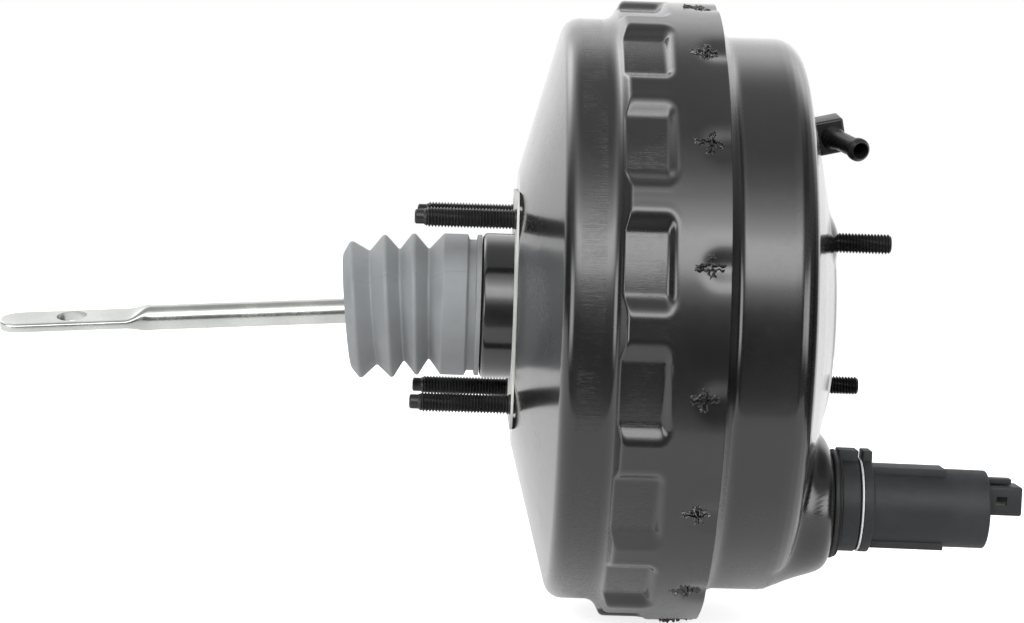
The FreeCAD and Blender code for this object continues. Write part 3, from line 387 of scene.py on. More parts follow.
@dataclass
class FinishShop:
    """Builds the shared node groups once, and one material for each finish.

    The drawing marks lie on the rear shell's band and on the pocket floors; each stretch is given
    by its two ends along X and its two radii.
    """

    band_start: float = 20.5 * MM
    band_end: float = 31.0 * MM
    band_low: float = 115.0 * MM
    band_high: float = 116.5 * MM
    floor_start: float = 37.0 * MM
    floor_end: float = 51.8 * MM
    floor_low: float = 118.9 * MM
    floor_high: float = 120.6 * MM
    mark_height: float = 0.00011
    mark_rough: float = 0.2
    cloud_scale: float = 45.0

    def __post_init__(self) -> None:
        """Builds the groups and the materials."""
        self.mottle = mottle_group()
        self.reliefs = {pattern: relief_group(pattern) for pattern in Pattern}
        self.marks = drawn_marks_group()
        self.made: dict[Finish, bpy.types.Material] = {}
        for finish in FINISHES:
            self.made[finish] = self.material(finish)
        self.pressed = self.material(PAINT, "black_paint_pressed", True)

    def group(self, tree: bpy.types.NodeTree, what: bpy.types.NodeTree,
              vector: bpy.types.NodeSocket, **values: object) -> bpy.types.Node:
        """Places a group in a material.

        Args:
            tree: the material's node tree.
            what: the group to place.
            vector: the coordinates.
            values: a constant for each input named.

        Returns:
            The group's node.
        """
        node = tree.nodes.new("ShaderNodeGroup")
        node.node_tree = what
        tree.links.new(vector, node.inputs["Vector"])
        for label, value in values.items():
            node.inputs[label].default_value = value
        return node

    def material(self, finish: Finish, name: str = "", marked: bool = False) -> bpy.types.Material:
        """Makes the node material of one finish.

        Args:
            finish: the finish to follow.
            name: the material's name, or the finish's slot where it is empty.
            marked: whether the drawing marks of the stamped shell are added.

        Returns:
            The material.
        """
        made = bpy.data.materials.new(name or finish.slot)
        made.use_nodes = True
        tree = made.node_tree
        shader = tree.nodes["Principled BSDF"]
        shader.inputs["Metallic"].default_value = finish.metallic
        shader.inputs["Coat Weight"].default_value = finish.coat
        shader.inputs["Coat Roughness"].default_value = finish.coat_rough
        shader.inputs["Specular IOR Level"].default_value = finish.specular
        vector = tree.nodes.new("ShaderNodeTexCoord").outputs["Object"]
        cloud = self.group(tree, self.mottle, vector, Scale=self.cloud_scale,
                           Light=(*finish.light, 1.0), Dark=(*finish.dark, 1.0),
                           Smooth=finish.rough[0], Rough=finish.rough[1])
        relief = self.group(tree, self.reliefs[finish.pattern], vector, Scale=finish.scale)
        height = maths(tree, "MULTIPLY", relief.outputs["Height"], finish.relief)
        colour, rough = cloud.outputs["Colour"], cloud.outputs["Roughness"]
        if marked:
            for start, end, low, high in (
                (self.band_start, self.band_end, self.band_low, self.band_high),
                (self.floor_start, self.floor_end, self.floor_low, self.floor_high),
            ):
                marks = self.group(tree, self.marks, vector, Start=start, End=end, Low=low,
                                   High=high)
                share = maths(tree, "MULTIPLY", marks.outputs["Mask"], marks.outputs["Height"])
                height = maths(tree, "MULTIPLY_ADD", share, self.mark_height, height)
                rough = maths(tree, "MULTIPLY_ADD", share, self.mark_rough, rough)
        tree.links.new(colour, shader.inputs["Base Color"])
        tree.links.new(rough, shader.inputs["Roughness"])
        bump = tree.nodes.new("ShaderNodeBump")
        bump.inputs["Distance"].default_value = 1.0
        bump.inputs["Strength"].default_value = 1.0
        tree.links.new(height, bump.inputs["Height"])
        tree.links.new(bump.outputs["Normal"], shader.inputs["Normal"])
        return made


def arc_path(corners: list[tuple[float, ...]], closed: bool = False,
             arc_steps: int = 7) -> np.ndarray:
    """Polyline through (x, r, round) corners, each round one an arc tangent to both its sides.

    An arc's points are the corner's arc centre plus the rounding radius turned evenly from the
    first tangent point to the last.

    Args:
        corners: points with an optional rounding radius.
        closed: whether the last corner joins the first.
        arc_steps: steps along each arc.

    Returns:
        An array of points, two numbers each.
    """
    points = [np.array(c[:2], float) for c in corners]
    count = len(points)
    path: list[np.ndarray] = []
    for i, corner in enumerate(corners):
        rounding = corner[2] if len(corner) > 2 else 0.0
        if not rounding or (not closed and i in (0, count - 1)):
            path.append(points[i][None])
            continue
        back = points[i - 1] - points[i]
        ahead = points[(i + 1) % count] - points[i]
        back, ahead = back / np.linalg.norm(back), ahead / np.linalg.norm(ahead)
        half = math.acos(float(np.clip(back @ ahead, -1, 1))) / 2
        middle = (back + ahead) / np.linalg.norm(back + ahead)
        centre = points[i] + middle * (rounding / math.sin(half))
        first = points[i] + back * (rounding / math.tan(half)) - centre
        last = points[i] + ahead * (rounding / math.tan(half)) - centre
        start = math.atan2(first[1], first[0])
        sweep = (math.atan2(last[1], last[0]) - start + math.pi) % TAU - math.pi
        angles = start + sweep * np.linspace(0, 1, arc_steps + 1)
        path.append(centre + rounding * np.stack([np.cos(angles), np.sin(angles)], -1))
    return np.concatenate(path)


def offset_path(path: np.ndarray, distance: float) -> np.ndarray:
    """The same polyline moved sideways: each point goes along the mean of its two side normals.

    Args:
        path: points, two numbers each.
        distance: positive moves to the right of the direction of travel.

    Returns:
        The moved points.
    """
    way = np.gradient(path, axis=0)
    way /= np.maximum(np.linalg.norm(way, axis=1, keepdims=True), 1e-12)
    return path + distance * np.stack([way[:, 1], -way[:, 0]], -1)


def refine(path: np.ndarray, step: float, closed: bool = False) -> np.ndarray:
    """Adds points so that no run is longer than step; the points that were there stay.

    Args:
        path: points, two numbers each.
        step: the longest run, in the same unit.
        closed: whether the last point joins the first.

    Returns:
        The points with the new ones between them.
    """
    if closed:
        path = np.concatenate([path, path[:1]])
    length = np.concatenate([[0], np.cumsum(np.linalg.norm(np.diff(path, axis=0), axis=1))])
    keep = np.concatenate([[True], np.diff(length) > 1e-9])
    path, length = path[keep], length[keep]
    runs = np.ceil(np.diff(length) / step).astype(int)
    share = np.concatenate([np.arange(n) / n for n in runs] + [np.zeros(1)])
    start = np.repeat(np.append(length[:-1], length[-1]), np.append(runs, 1))
    width = np.repeat(np.append(np.diff(length), 0.0), np.append(runs, 1))
    at = start + share * width
    path = np.stack([np.interp(at, length, path[:, k]) for k in range(2)], -1)
    return path[:-1] if closed else path


def grid_faces(rows: int, columns: int, wrap_rows: bool) -> np.ndarray:
    """Four-sided faces of a grid whose columns go all the way round.

    Each face joins a point, the one to its right, the one above that and the one above the first.

    Args:
        rows: number of rows.
        columns: number of columns; the last one joins the first.
        wrap_rows: whether the last row joins the first too.

    Returns:
        Point numbers, four to a face.
    """
    i = np.arange(rows if wrap_rows else rows - 1)[:, None]
    j = np.arange(columns)[None, :]
    up, right = (i + 1) % rows, (j + 1) % columns
    corners = (i * columns + j, i * columns + right, up * columns + right, up * columns + j)
    return np.stack(np.broadcast_arrays(*corners), -1).reshape(-1, 4)


class Sheet:
    """A mesh put together from grids of points, worked out as whole arrays."""

    def __init__(self) -> None:
        """Starts with nothing."""
        self.points: list[np.ndarray] = []
        self.quads: list[np.ndarray] = []
        self.caps: list[np.ndarray] = []
        self.count = 0

    def add(self, grid: np.ndarray, wrap_rows: bool = False, caps: bool = False) -> "Sheet":
        """Adds one grid, whose columns go all the way round.

        Args:
            grid: rows by columns by three numbers, in metres.
            wrap_rows: whether the last row joins the first.
            caps: whether the first and last rows are closed with flat faces.

        Returns:
            This sheet, so that calls can follow each other.
        """
        rows, columns = grid.shape[:2]
        self.quads.append(grid_faces(rows, columns, wrap_rows) + self.count)
        if caps:
            first = np.arange(columns) + self.count
            self.caps += [first[::-1], first + (rows - 1) * columns]
        self.points.append(grid.reshape(-1, 3))
        self.count += rows * columns
        return self

    def build(self, name: str, sharp_degrees: float = PLAIN_SHARP) -> bpy.types.Object:
        """Makes the mesh object, at the origin, with its faces pointing outwards.

        Args:
            name: the piece's name.
            sharp_degrees: edges that turn by more than this are shaded sharp.

        Returns:
            The object, linked into the scene.
        """
        mesh = bpy.data.meshes.new(name)
        points = np.concatenate(self.points)
        quads = np.concatenate(self.quads)
        loops = np.concatenate([quads.ravel()] + self.caps)
        sizes = np.concatenate([np.full(len(quads), 4)] + [np.array([len(c)]) for c in self.caps])
        mesh.vertices.add(len(points))
        mesh.vertices.foreach_set("co", points.astype(np.float32).ravel())
        mesh.loops.add(len(loops))
        mesh.loops.foreach_set("vertex_index", loops.astype(np.int32))
        mesh.polygons.add(len(sizes))
        starts = np.concatenate([[0], np.cumsum(sizes)[:-1]])
        mesh.polygons.foreach_set("loop_start", starts.astype(np.int32))
        mesh.polygons.foreach_set("use_smooth", np.ones(len(sizes), bool))
        mesh.update(calc_edges=True)
        mesh.validate()
        face_outwards(mesh)
        mesh.set_sharp_from_angle(angle=math.radians(sharp_degrees))
        made = bpy.data.objects.new(name, mesh)
        bpy.context.collection.objects.link(made)
        return made


def face_outwards(mesh: bpy.types.Mesh) -> None:
    """Recalculates a closed mesh's face directions so that they point out of the solid.

    Args:
        mesh: the mesh to change.
    """
    work = bmesh.new()
    work.from_mesh(mesh)
    bmesh.ops.recalc_face_normals(work, faces=work.faces)
    work.to_mesh(mesh)
    work.free()


def spun(path: np.ndarray, angles: np.ndarray) -> np.ndarray:
    """Surface of revolution about X: (x, r) at angle a gives (x, r cos a, r sin a).

    Args:
        path: (x, r) points in millimetres.
        angles: where round the axis the columns lie, in radians.

    Returns:
        A grid of points in metres.
    """
    x, r = path[:, 0][:, None], path[:, 1][:, None]
    return np.stack(np.broadcast_arrays(x, r * np.cos(angles), r * np.sin(angles)), -1) * MM


def about_x(points: np.ndarray, turn: float) -> np.ndarray:
    """Turns points about X: (y, z) becomes (y cos t - z sin t, y sin t + z cos t).

    Args:
        points: any array whose last axis holds three coordinates.
        turn: the angle t in radians.

    Returns:
        The turned points.
    """
    x, y, z = np.moveaxis(points, -1, 0)
    return np.stack([x, y * math.cos(turn) - z * math.sin(turn),
                     y * math.sin(turn) + z * math.cos(turn)], -1)


def even_angles(count: int) -> np.ndarray:
    """Angles round a full turn, without the repeated last one."""
    return np.arange(count) * (TAU / count)


def smooth_max(a: np.ndarray, b: np.ndarray, width: float) -> np.ndarray:
    """The larger of two heights, with a parabolic fillet where they differ by less than width."""
    share = np.clip(0.5 + (a - b) / (2 * width), 0, 1)
    return b + (a - b) * share + width * share * (1 - share) / 2


def smooth_step(value: np.ndarray) -> np.ndarray:
    """Cubic ease from 0 to 1."""
    t = np.clip(value, 0, 1)
    return t * t * (3 - 2 * t)


@dataclass(frozen=True)
class Placing:
    """Where a form drawn along X goes: turned about a point of the axis, then moved sideways.

    Attributes:
        pivot_x: X of the turning point, in millimetres.
        hinge: direction of the turning axis.
        degrees: how far it turns.
        shift: the move after the turn, in millimetres.
    """

    pivot_x: float
    hinge: tuple[float, float, float]
    degrees: float
    shift: tuple[float, float, float] = (0.0, 0.0, 0.0)

    def __call__(self, points: np.ndarray) -> np.ndarray:
        """Turns points by Rodrigues' formula, then moves them.

        Args:
            points: any array whose last axis holds three coordinates, in metres.

        Returns:
            The points in their place.
        """
        axis = np.array(self.hinge) / np.linalg.norm(self.hinge)
        pivot = np.array([self.pivot_x * MM, 0, 0])
        angle = math.radians(self.degrees)
        arm = points - pivot
        turned = (arm * math.cos(angle) + np.cross(axis, arm) * math.sin(angle)
                  + axis * (arm @ axis)[..., None] * (1 - math.cos(angle)))
        return turned + pivot + np.array(self.shift) * MM


def finish_piece(piece: bpy.types.Object, shop: FinishShop, finish: Finish, body: Body | None,
                 *nodes: str, material: bpy.types.Material | None = None) -> bpy.types.Object:
    """Gives a piece its material and slot, lets it ride on its body and stand for its nodes.

    Args:
        piece: the mesh object.
        shop: where the materials are.
        finish: the finish to use.
        body: the body that it rides on, or None for a piece that rides on none.
        nodes: CAD nodes that it stands for.
        material: a material to use in place of the finish's own.

    Returns:
        The piece.
    """
    piece.data.materials.clear()
    piece.data.materials.append(material or shop.made[finish])
    if body:
        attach(piece, body.value)
    if nodes:
        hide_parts(*nodes)
    log.info("%s: %d faces, rides %s", piece.name, len(piece.data.polygons), body)
    return piece


def move_points(mesh: bpy.types.Mesh, rule: Callable[[np.ndarray], np.ndarray]) -> None:
    """Moves a mesh's points, all at once.

    Args:
        mesh: the mesh to change.
        rule: gives the points' new places from their old ones, as an array with rows of three.
    """
    points = np.empty(3 * len(mesh.vertices), np.float32)
    mesh.vertices.foreach_get("co", points)
    moved = rule(points.reshape(-1, 3).astype(float))
    mesh.vertices.foreach_set("co", moved.astype(np.float32).ravel())


def rounded_box(name: str, size: np.ndarray, centre: np.ndarray, bevel: float, segments: int,
                place: Callable[[np.ndarray], np.ndarray]) -> bpy.types.Object:
    """Makes a box with rounded edges and puts it in its place.

    Args:
        name: the piece's name.
        size: the three edge lengths, in millimetres.
        centre: the box's middle, in millimetres.
        bevel: how far the rounding reaches, in millimetres.
        segments: number of faces across the rounding.
        place: turns points of the drawn box into points of the scene, in metres.

    Returns:
        The object, linked into the scene.
    """
    mesh = bpy.data.meshes.new(name)
    work = bmesh.new()
    bmesh.ops.create_cube(work, size=1.0)
    work.to_mesh(mesh)
    move_points(mesh, lambda points: (centre + points * size) * MM)
    work.clear()
    work.from_mesh(mesh)
    bmesh.ops.bevel(work, geom=list(work.edges), offset=bevel * MM, segments=segments,
                    profile=0.5, affect="EDGES")
    work.to_mesh(mesh)
    work.free()
    move_points(mesh, place)
    mesh.polygons.foreach_set("use_smooth", np.ones(len(mesh.polygons), bool))
    face_outwards(mesh)
    mesh.set_sharp_from_angle(angle=math.radians(BEVEL_SHARP))
    made = bpy.data.objects.new(name, mesh)
    bpy.context.collection.objects.link(made)
    return made


def cut(piece: bpy.types.Object, tools: list[bpy.types.Object]) -> None:
    """Cuts closed tool meshes out of a piece, keeps the result and deletes the tools.

    Args:
        piece: the object to cut.
        tools: the objects to take out of it.
    """
    for tool in tools:
        modifier = piece.modifiers.new("cut", "BOOLEAN")
        modifier.operation = "DIFFERENCE"
        modifier.solver = "EXACT"
        modifier.object = tool
    graph = bpy.context.evaluated_depsgraph_get()
    mesh = bpy.data.meshes.new_from_object(piece.evaluated_get(graph), depsgraph=graph)
    piece.modifiers.clear()
    piece.data = mesh
    for tool in tools:
        bpy.data.objects.remove(tool)
    mesh.set_sharp_from_angle(angle=math.radians(PLAIN_SHARP))


@dataclass
class RearShell:
    """Stamped rear shell: neck, mounting face, cone, band, and a rim with pockets and dents."""

    sheet: float = 1.8
    spigot_r: float = 24.4
    spigot_x: float = -22.0
    neck_x: float = -13.4
    neck_r: float = 29.0
    face_r: float = 54.5
    shoulder_x: float = 16.63
    band_r: float = 115.7
    beside: float = 6.4
    rim_r: float = 123.2
    ramp_x: float = 34.5
    ramp_end_x: float = 38.3
    rim_end_x: float = 74.8
    pockets: int = 16
    pocket_degrees: float = 168.3
    stake_degrees: float = 168.75
    floor_end_x: float = 51.4
    floor_half: float = 11.7
    slope_along: float = 3.5
    slope_across: float = 5.8
    pocket_depth: float = 3.6
    pocket_edge: float = 1.9
    floor_edge: float = 0.16
    stake_x: float = 67.4
    dent_depth: float = 1.25
    dent_half: float = 5.8
    dent_ramp: tuple[float, float] = (-5.0, 9.0)
    hollow_depth: float = 0.35
    hollow_area: float = 12.0
    edge_round: float = 0.5
    edge_lip: float = 0.25
    before_ramp: float = 5.0
    plain_step: float = 20.0
    rim_steps: tuple[float, float] = (1.0, 3.0)
    turn_steps: int = 672

    def off_centre(self, angle: np.ndarray, first_degrees: float) -> np.ndarray:
        """Distance along the rim to the nearest of the evenly spaced marks, in millimetres."""
        pitch = TAU / self.pockets
        return ((angle - math.radians(first_degrees) + pitch / 2) % pitch - pitch / 2) * self.rim_r

    def pocket_level(self, x: np.ndarray, angle: np.ndarray) -> np.ndarray:
        """Radius of the pocket's own surface, which the shell's profile is cut down to.

        The floor is flat and runs out through the ramp on one side. Beyond its end and its two
        sides the level rises in proportion to the distance, measured in slope lengths, so the
        outline has elliptical corners while the floor keeps square ones.

        Args:
            x: X of the points, in millimetres.
            angle: where they lie round the axis, in radians.

        Returns:
            The level's radius, in millimetres.
        """
        along = np.clip((x - self.floor_end_x) / self.slope_along, 0, None)
        across = np.abs(self.off_centre(angle, self.pocket_degrees))
        aside = np.clip((across - self.floor_half) / self.slope_across, 0, None)
        far = np.sqrt(along ** 2 + aside ** 2 + self.floor_edge ** 2) - self.floor_edge
        return self.rim_r + self.pocket_depth * (far - 1)

    def dent(self, x: np.ndarray, angle: np.ndarray) -> np.ndarray:
        """How far the rim sinks round a stake: a bell along the rim that deepens to its edge.

        Args:
            x: X of the points, in millimetres.
            angle: where they lie round the axis, in radians.

        Returns:
            The depth in millimetres, with a small hollow right at the stake.
        """
        across = self.off_centre(angle, self.stake_degrees)
        off = x - self.stake_x
        along = smooth_step((off - self.dent_ramp[0]) / self.dent_ramp[1])
        hollow = self.hollow_depth * np.exp(-(off ** 2 + across ** 2) / self.hollow_area)
        return self.dent_depth * np.exp(-(across / self.dent_half) ** 2) * along + hollow

    def pressed(self, x: np.ndarray, r: np.ndarray, angle: np.ndarray,
                depth: np.ndarray) -> np.ndarray:
        """Radius after pockets and dents: smooth minimum of profile and pocket, less the dent."""
        level = self.pocket_level(x, angle) - depth
        return -smooth_max(-r, -level, self.pocket_edge) - self.dent(x, angle)

    def outline(self, arc_steps: int) -> np.ndarray:
        """Outer skin from the spigot to the rim's edge.

        Points stand beside the shoulder's arc too, so that its neighbours' shading stays flat.

        Args:
            arc_steps: steps along each rounding.

        Returns:
            (x, r) points in millimetres.
        """
        cone = np.array([self.shoulder_x, self.band_r - self.face_r])
        cone *= self.beside / np.linalg.norm(cone)
        cone_end = np.array([self.shoulder_x, self.band_r]) - cone
        corners = [
            (self.spigot_x, self.spigot_r), (self.neck_x, self.spigot_r, 0.5),
            (self.neck_x, self.neck_r, 2.2), (0.0, self.neck_r, 0.8), (0.0, self.face_r, 10.0),
            (float(cone_end[0]), float(cone_end[1])), (self.shoulder_x, self.band_r, 7.0),
            (self.shoulder_x + self.beside, self.band_r), (self.ramp_x, self.band_r, 5.6),
            (self.ramp_end_x, self.rim_r, 2.6), (self.rim_end_x, self.rim_r),
        ]
        return arc_path(corners, arc_steps=arc_steps)

    def build(self, shop: FinishShop) -> None:
        """Builds the shell as one closed loop of outer and inner skin turned about X.

        Args:
            shop: where the materials are.
        """
        start = self.ramp_x - self.before_ramp

        def stepped(path: np.ndarray, step: float) -> np.ndarray:
            """Long steps up to the start of the rim, and short ones along it."""
            return np.concatenate([refine(path[path[:, 0] < start], self.plain_step),
                                   refine(path[path[:, 0] >= start], step)])

        outer = stepped(self.outline(5), self.rim_steps[0])
        inner = stepped(offset_path(self.outline(3), self.sheet), self.rim_steps[1])[::-1]
        inner = inner[inner[:, 1] > self.spigot_r - 2 * self.sheet]
        depths = np.array([self.edge_round, self.sheet - self.edge_round])
        edge = np.stack([np.full(2, self.rim_end_x + self.edge_lip), self.rim_r - depths], -1)
        loop = np.concatenate([outer, edge, inner])
        depth = np.concatenate([np.zeros(len(outer)), depths,
                                np.full(len(inner), self.sheet)])[:, None]
        angles = even_angles(self.turn_steps)[None, :]
        x, profile = loop[:, 0][:, None], loop[:, 1][:, None]
        r = np.where(x > start, self.pressed(x, profile, angles, depth), profile)
        grid = np.stack(np.broadcast_arrays(x, r * np.cos(angles), r * np.sin(angles)), -1) * MM
        piece = Sheet().add(grid, wrap_rows=True).build("rear_shell_stamped", 50.0)
        finish_piece(piece, shop, PAINT, Body.HOUSING, "rear_shell", material=shop.pressed)
        RimStakes(self).build(shop)


@dataclass
class RimStakes:
    """Torn metal where the rim is staked: a star of crumpled lips over a sunk border."""

    shell: RearShell
    centre_r: float = 0.03
    first_r: float = 0.18
    last_r: float = 7.2
    border_r: float = 7.5
    rings: int = 38
    ring_steps: int = 96
    stretch: tuple[float, float] = (1.12, 0.92)
    shift: float = -0.5
    ways: tuple[float, ...] = (0.5, 0.02, -0.48, 1.0)
    way_spread: float = 0.16
    reach: tuple[float, ...] = (5.2, 5.6, 5.4, 6.6)
    reach_spread: tuple[float, float] = (0.9, 1.08)
    crater: tuple[float, float] = (0.35, 3.0)
    fade: tuple[float, float] = (0.7, 1.4)
    wander: tuple[float, float] = (0.3, 2.6)
    lip_height: float = 0.95
    lip_gap: tuple[float, float] = (0.88, 0.06)
    lip_half: float = 0.52
    groove_depth: float = 0.7
    groove_half: float = 0.36
    bumps: int = 14
    bump_along: tuple[float, float] = (0.05, 0.98)
    bump_aside: float = 0.9
    bump_half: tuple[float, float] = (0.28, 0.55)
    bump_height: tuple[float, float] = (-1.1, 1.3)
    limits: tuple[float, float] = (-1.2, 1.9)
    sunk: float = 0.12
    border_depth: float = 1.4
    border_start: float = 6.4
    seed: int = 11

    def crumple(self, u: np.ndarray, v: np.ndarray, rng: np.random.Generator) -> np.ndarray:
        """Height of one stake's torn metal over the rim.

        It is a shallow crater plus four arms, each a pair of Gaussian lips either side of a groove
        that wanders as a sine, plus small Gaussian bumps strewn along the arms.

        Args:
            u: distance from the stake along the rim's axis, in millimetres.
            v: distance from the stake round the rim, in millimetres.
            rng: where the random numbers come from.

        Returns:
            The height in millimetres.
        """
        ways = np.array(self.ways) * math.pi + rng.uniform(-self.way_spread, self.way_spread, 4)
        reach = np.array(self.reach) * rng.uniform(*self.reach_spread, 4)
        height = -self.crater[0] * np.exp(-(u ** 2 + v ** 2) / self.crater[1])
        for way, end in zip(ways, reach):
            along = u * math.cos(way) + v * math.sin(way)
            across = v * math.cos(way) - u * math.sin(way)
            window = smooth_step(along / self.fade[0]) * smooth_step((end - along) / self.fade[1])
            wave = across + self.wander[0] * np.sin(self.wander[1] * along + way * 3)
            gap = self.lip_gap[0] - self.lip_gap[1] * along
            lips = sum(np.exp(-((wave - side * gap) / self.lip_half) ** 2) for side in (-1, 1))
            groove = self.groove_depth * np.exp(-(wave / self.groove_half) ** 2)
            height = height + window * (self.lip_height * lips - groove)
        for way, end in zip(ways.repeat(self.bumps), reach.repeat(self.bumps)):
            spot = rng.uniform(*self.bump_along) * end
            aside = rng.normal(0, self.bump_aside)
            centre_u = spot * math.cos(way) - aside * math.sin(way)
            centre_v = spot * math.sin(way) + aside * math.cos(way)
            spread = rng.uniform(*self.bump_half)
            bump = np.exp(-((u - centre_u) ** 2 + (v - centre_v) ** 2) / spread ** 2)
            height = height + rng.uniform(*self.bump_height) * bump
        return np.clip(height, *self.limits)

    def build(self, shop: FinishShop) -> None:
        """Builds all stakes as one piece.

        Points lie on rings about a stake; a ring is stretched along the rim's axis. The last rings
        sink into the sheet, where a flat face closes them.

        Args:
            shop: where the materials are.
        """
        shell = self.shell
        rho = np.concatenate([[self.centre_r], np.linspace(self.first_r, self.last_r, self.rings),
                              [self.border_r]])[:, None]
        turn = even_angles(self.ring_steps)[None, :]
        u = self.stretch[0] * rho * np.cos(turn) + self.shift
        v = self.stretch[1] * rho * np.sin(turn)
        border = self.sunk + self.border_depth * smooth_step(rho - self.border_start)
        rng = np.random.default_rng(self.seed)
        sheet = Sheet()
        for k in range(shell.pockets):
            height = self.crumple(u, v, rng) - border
            x = shell.stake_x + u
            angle = (math.radians(shell.stake_degrees) + k * TAU / shell.pockets
                     + v / shell.rim_r)
            r = shell.rim_r - shell.dent(x, angle) + height
            grid = np.stack([x, r * np.cos(angle), r * np.sin(angle)], -1) * MM
            sheet.add(grid, caps=True)
        finish_piece(sheet.build("rim_stakes", 60.0), shop, PAINT, Body.HOUSING)


@dataclass
class FrontShell:
    """Stamped front shell: cylinder, dome, sensor boss, stud pads and pilot recess."""

    sheet: float = 1.8
    flange_x: float = 62.6
    flange_r: float = 121.1
    flare_r: float = 118.9
    flare_x: tuple[float, float] = (72.4, 79.8)
    front_r: float = 110.2
    edge_x: float = 107.3
    dome_mid: tuple[float, float] = (114.3, 82.2)
    dome_foot: tuple[float, float] = (122.4, 46.5)
    pad_x: float = 123.7
    pad_r: float = 43.2
    pilot_r: float = 28.0
    pilot_depth: float = 11.0
    seal_r: float = 17.0
    boss_centre: tuple[float, float] = (-27.0, -72.0)
    boss_r: float = 27.5
    boss_x: float = 125.5
    boss_round: float = 7.5
    boss_flank: float = 3.0
    boss_fillet: float = 8.0
    boss_inset: float = 1.6
    stud_spot: tuple[float, float] = (-36.01, 30.97)
    pad_reach: float = 13.0
    pad_slope: float = 10.0
    free_x: float = 90.0
    dome_x: float = 96.0
    outer_steps: tuple[float, float, float] = (14.0, 1.0, 9.0)
    inner_step: float = 4.5
    turn_steps: int = 552

    def raised(self, x: np.ndarray, y: np.ndarray, z: np.ndarray, inset: np.ndarray) -> np.ndarray:
        """X of the skin after the boss and the oval stud pad are raised out of the dome.

        The boss's height over its own axis is flat, then a quarter circle, then a steep slope, and
        a smooth maximum with the dome gives the fillet round its foot. The stud pad lies round the
        line between the two studs, and eases from the dome's height to its own. The inner skin's
        boss is smaller by its inset and lies lower by it, and so does its pad.

        Args:
            x: the dome's own height, in millimetres.
            y: Y of the points.
            z: Z of the points.
            inset: how far each point lies under the outer skin.

        Returns:
            The raised height, in millimetres.
        """
        rho = np.hypot(y - self.boss_centre[0], z - self.boss_centre[1]) + self.boss_inset * inset
        over = np.clip(rho - (self.boss_r - self.boss_round), 0, self.boss_round * 0.95)
        fall = self.boss_round - np.sqrt(self.boss_round ** 2 - over ** 2)
        beyond = np.clip(rho - (self.boss_r - 0.05 * self.boss_round), 0, None)
        boss = self.boss_x - inset - fall - self.boss_flank * beyond
        height = smooth_max(x, boss, self.boss_fillet)
        size = math.hypot(*self.stud_spot)
        way_y, way_z = self.stud_spot[0] / size, self.stud_spot[1] / size
        along = np.clip(y * way_y + z * way_z, -size, size)
        gap = np.hypot(y - along * way_y, z - along * way_z)
        share = smooth_step((self.pad_reach - gap) / self.pad_slope)
        return height + np.clip(self.pad_x - inset - height, 0, None) * share

    def build(self, shop: FinishShop) -> None:
        """Builds the shell as one closed loop of outer and inner skin turned about X.

        Args:
            shop: where the materials are.
        """
        floor_x = self.pad_x - self.pilot_depth
        corners = [
            (self.flange_x, self.flange_r), (self.flange_x, self.flare_r, 0.8),
            (self.flare_x[0], self.flare_r, 3.0), (self.flare_x[1], self.front_r, 5.0),
            (self.flare_x[1] + 3.2, self.front_r), (self.edge_x - 9.0, self.front_r),
            (self.edge_x, self.front_r, 10.0),
            (*self.dome_mid, 120.0), (*self.dome_foot, 8.0), (self.pad_x, self.pad_r, 2.0),
            (self.pad_x, self.pilot_r, 1.4), (floor_x, self.pilot_r, 2.4), (floor_x, self.seal_r),
        ]
        path = arc_path(corners, arc_steps=5)
        on_dome = (path[:, 0] > self.dome_x) & (path[:, 1] > self.pilot_r + 2)
        split = int(np.argmax(on_dome))
        end = len(path) - int(np.argmax(on_dome[::-1]))
        before, along, after = self.outer_steps
        outer = np.concatenate([refine(path[:split + 1], before)[:-1],
                                refine(path[split:end], along), refine(path[end:], after)])
        inner_path = offset_path(arc_path(corners, arc_steps=2), self.sheet)
        inner = refine(inner_path, self.inner_step)[::-1]
        loop = np.concatenate([outer, inner])
        inset = np.concatenate([np.zeros(len(outer)), np.full(len(inner), self.sheet)])[:, None]
        angles = even_angles(self.turn_steps)[None, :]
        x, r = loop[:, 0][:, None], loop[:, 1][:, None]
        y, z = r * np.cos(angles), r * np.sin(angles)
        free = (x > self.free_x) & (r > self.pilot_r + 0.5)
        lift = np.where(free, self.raised(x, y, z, inset) - x, 0.0)
        grid = np.stack([x + lift, y, z], -1) * MM
        piece = Sheet().add(grid, wrap_rows=True).build("front_shell_stamped", 75.0)
        finish_piece(piece, shop, PAINT, Body.HOUSING, "front_shell")


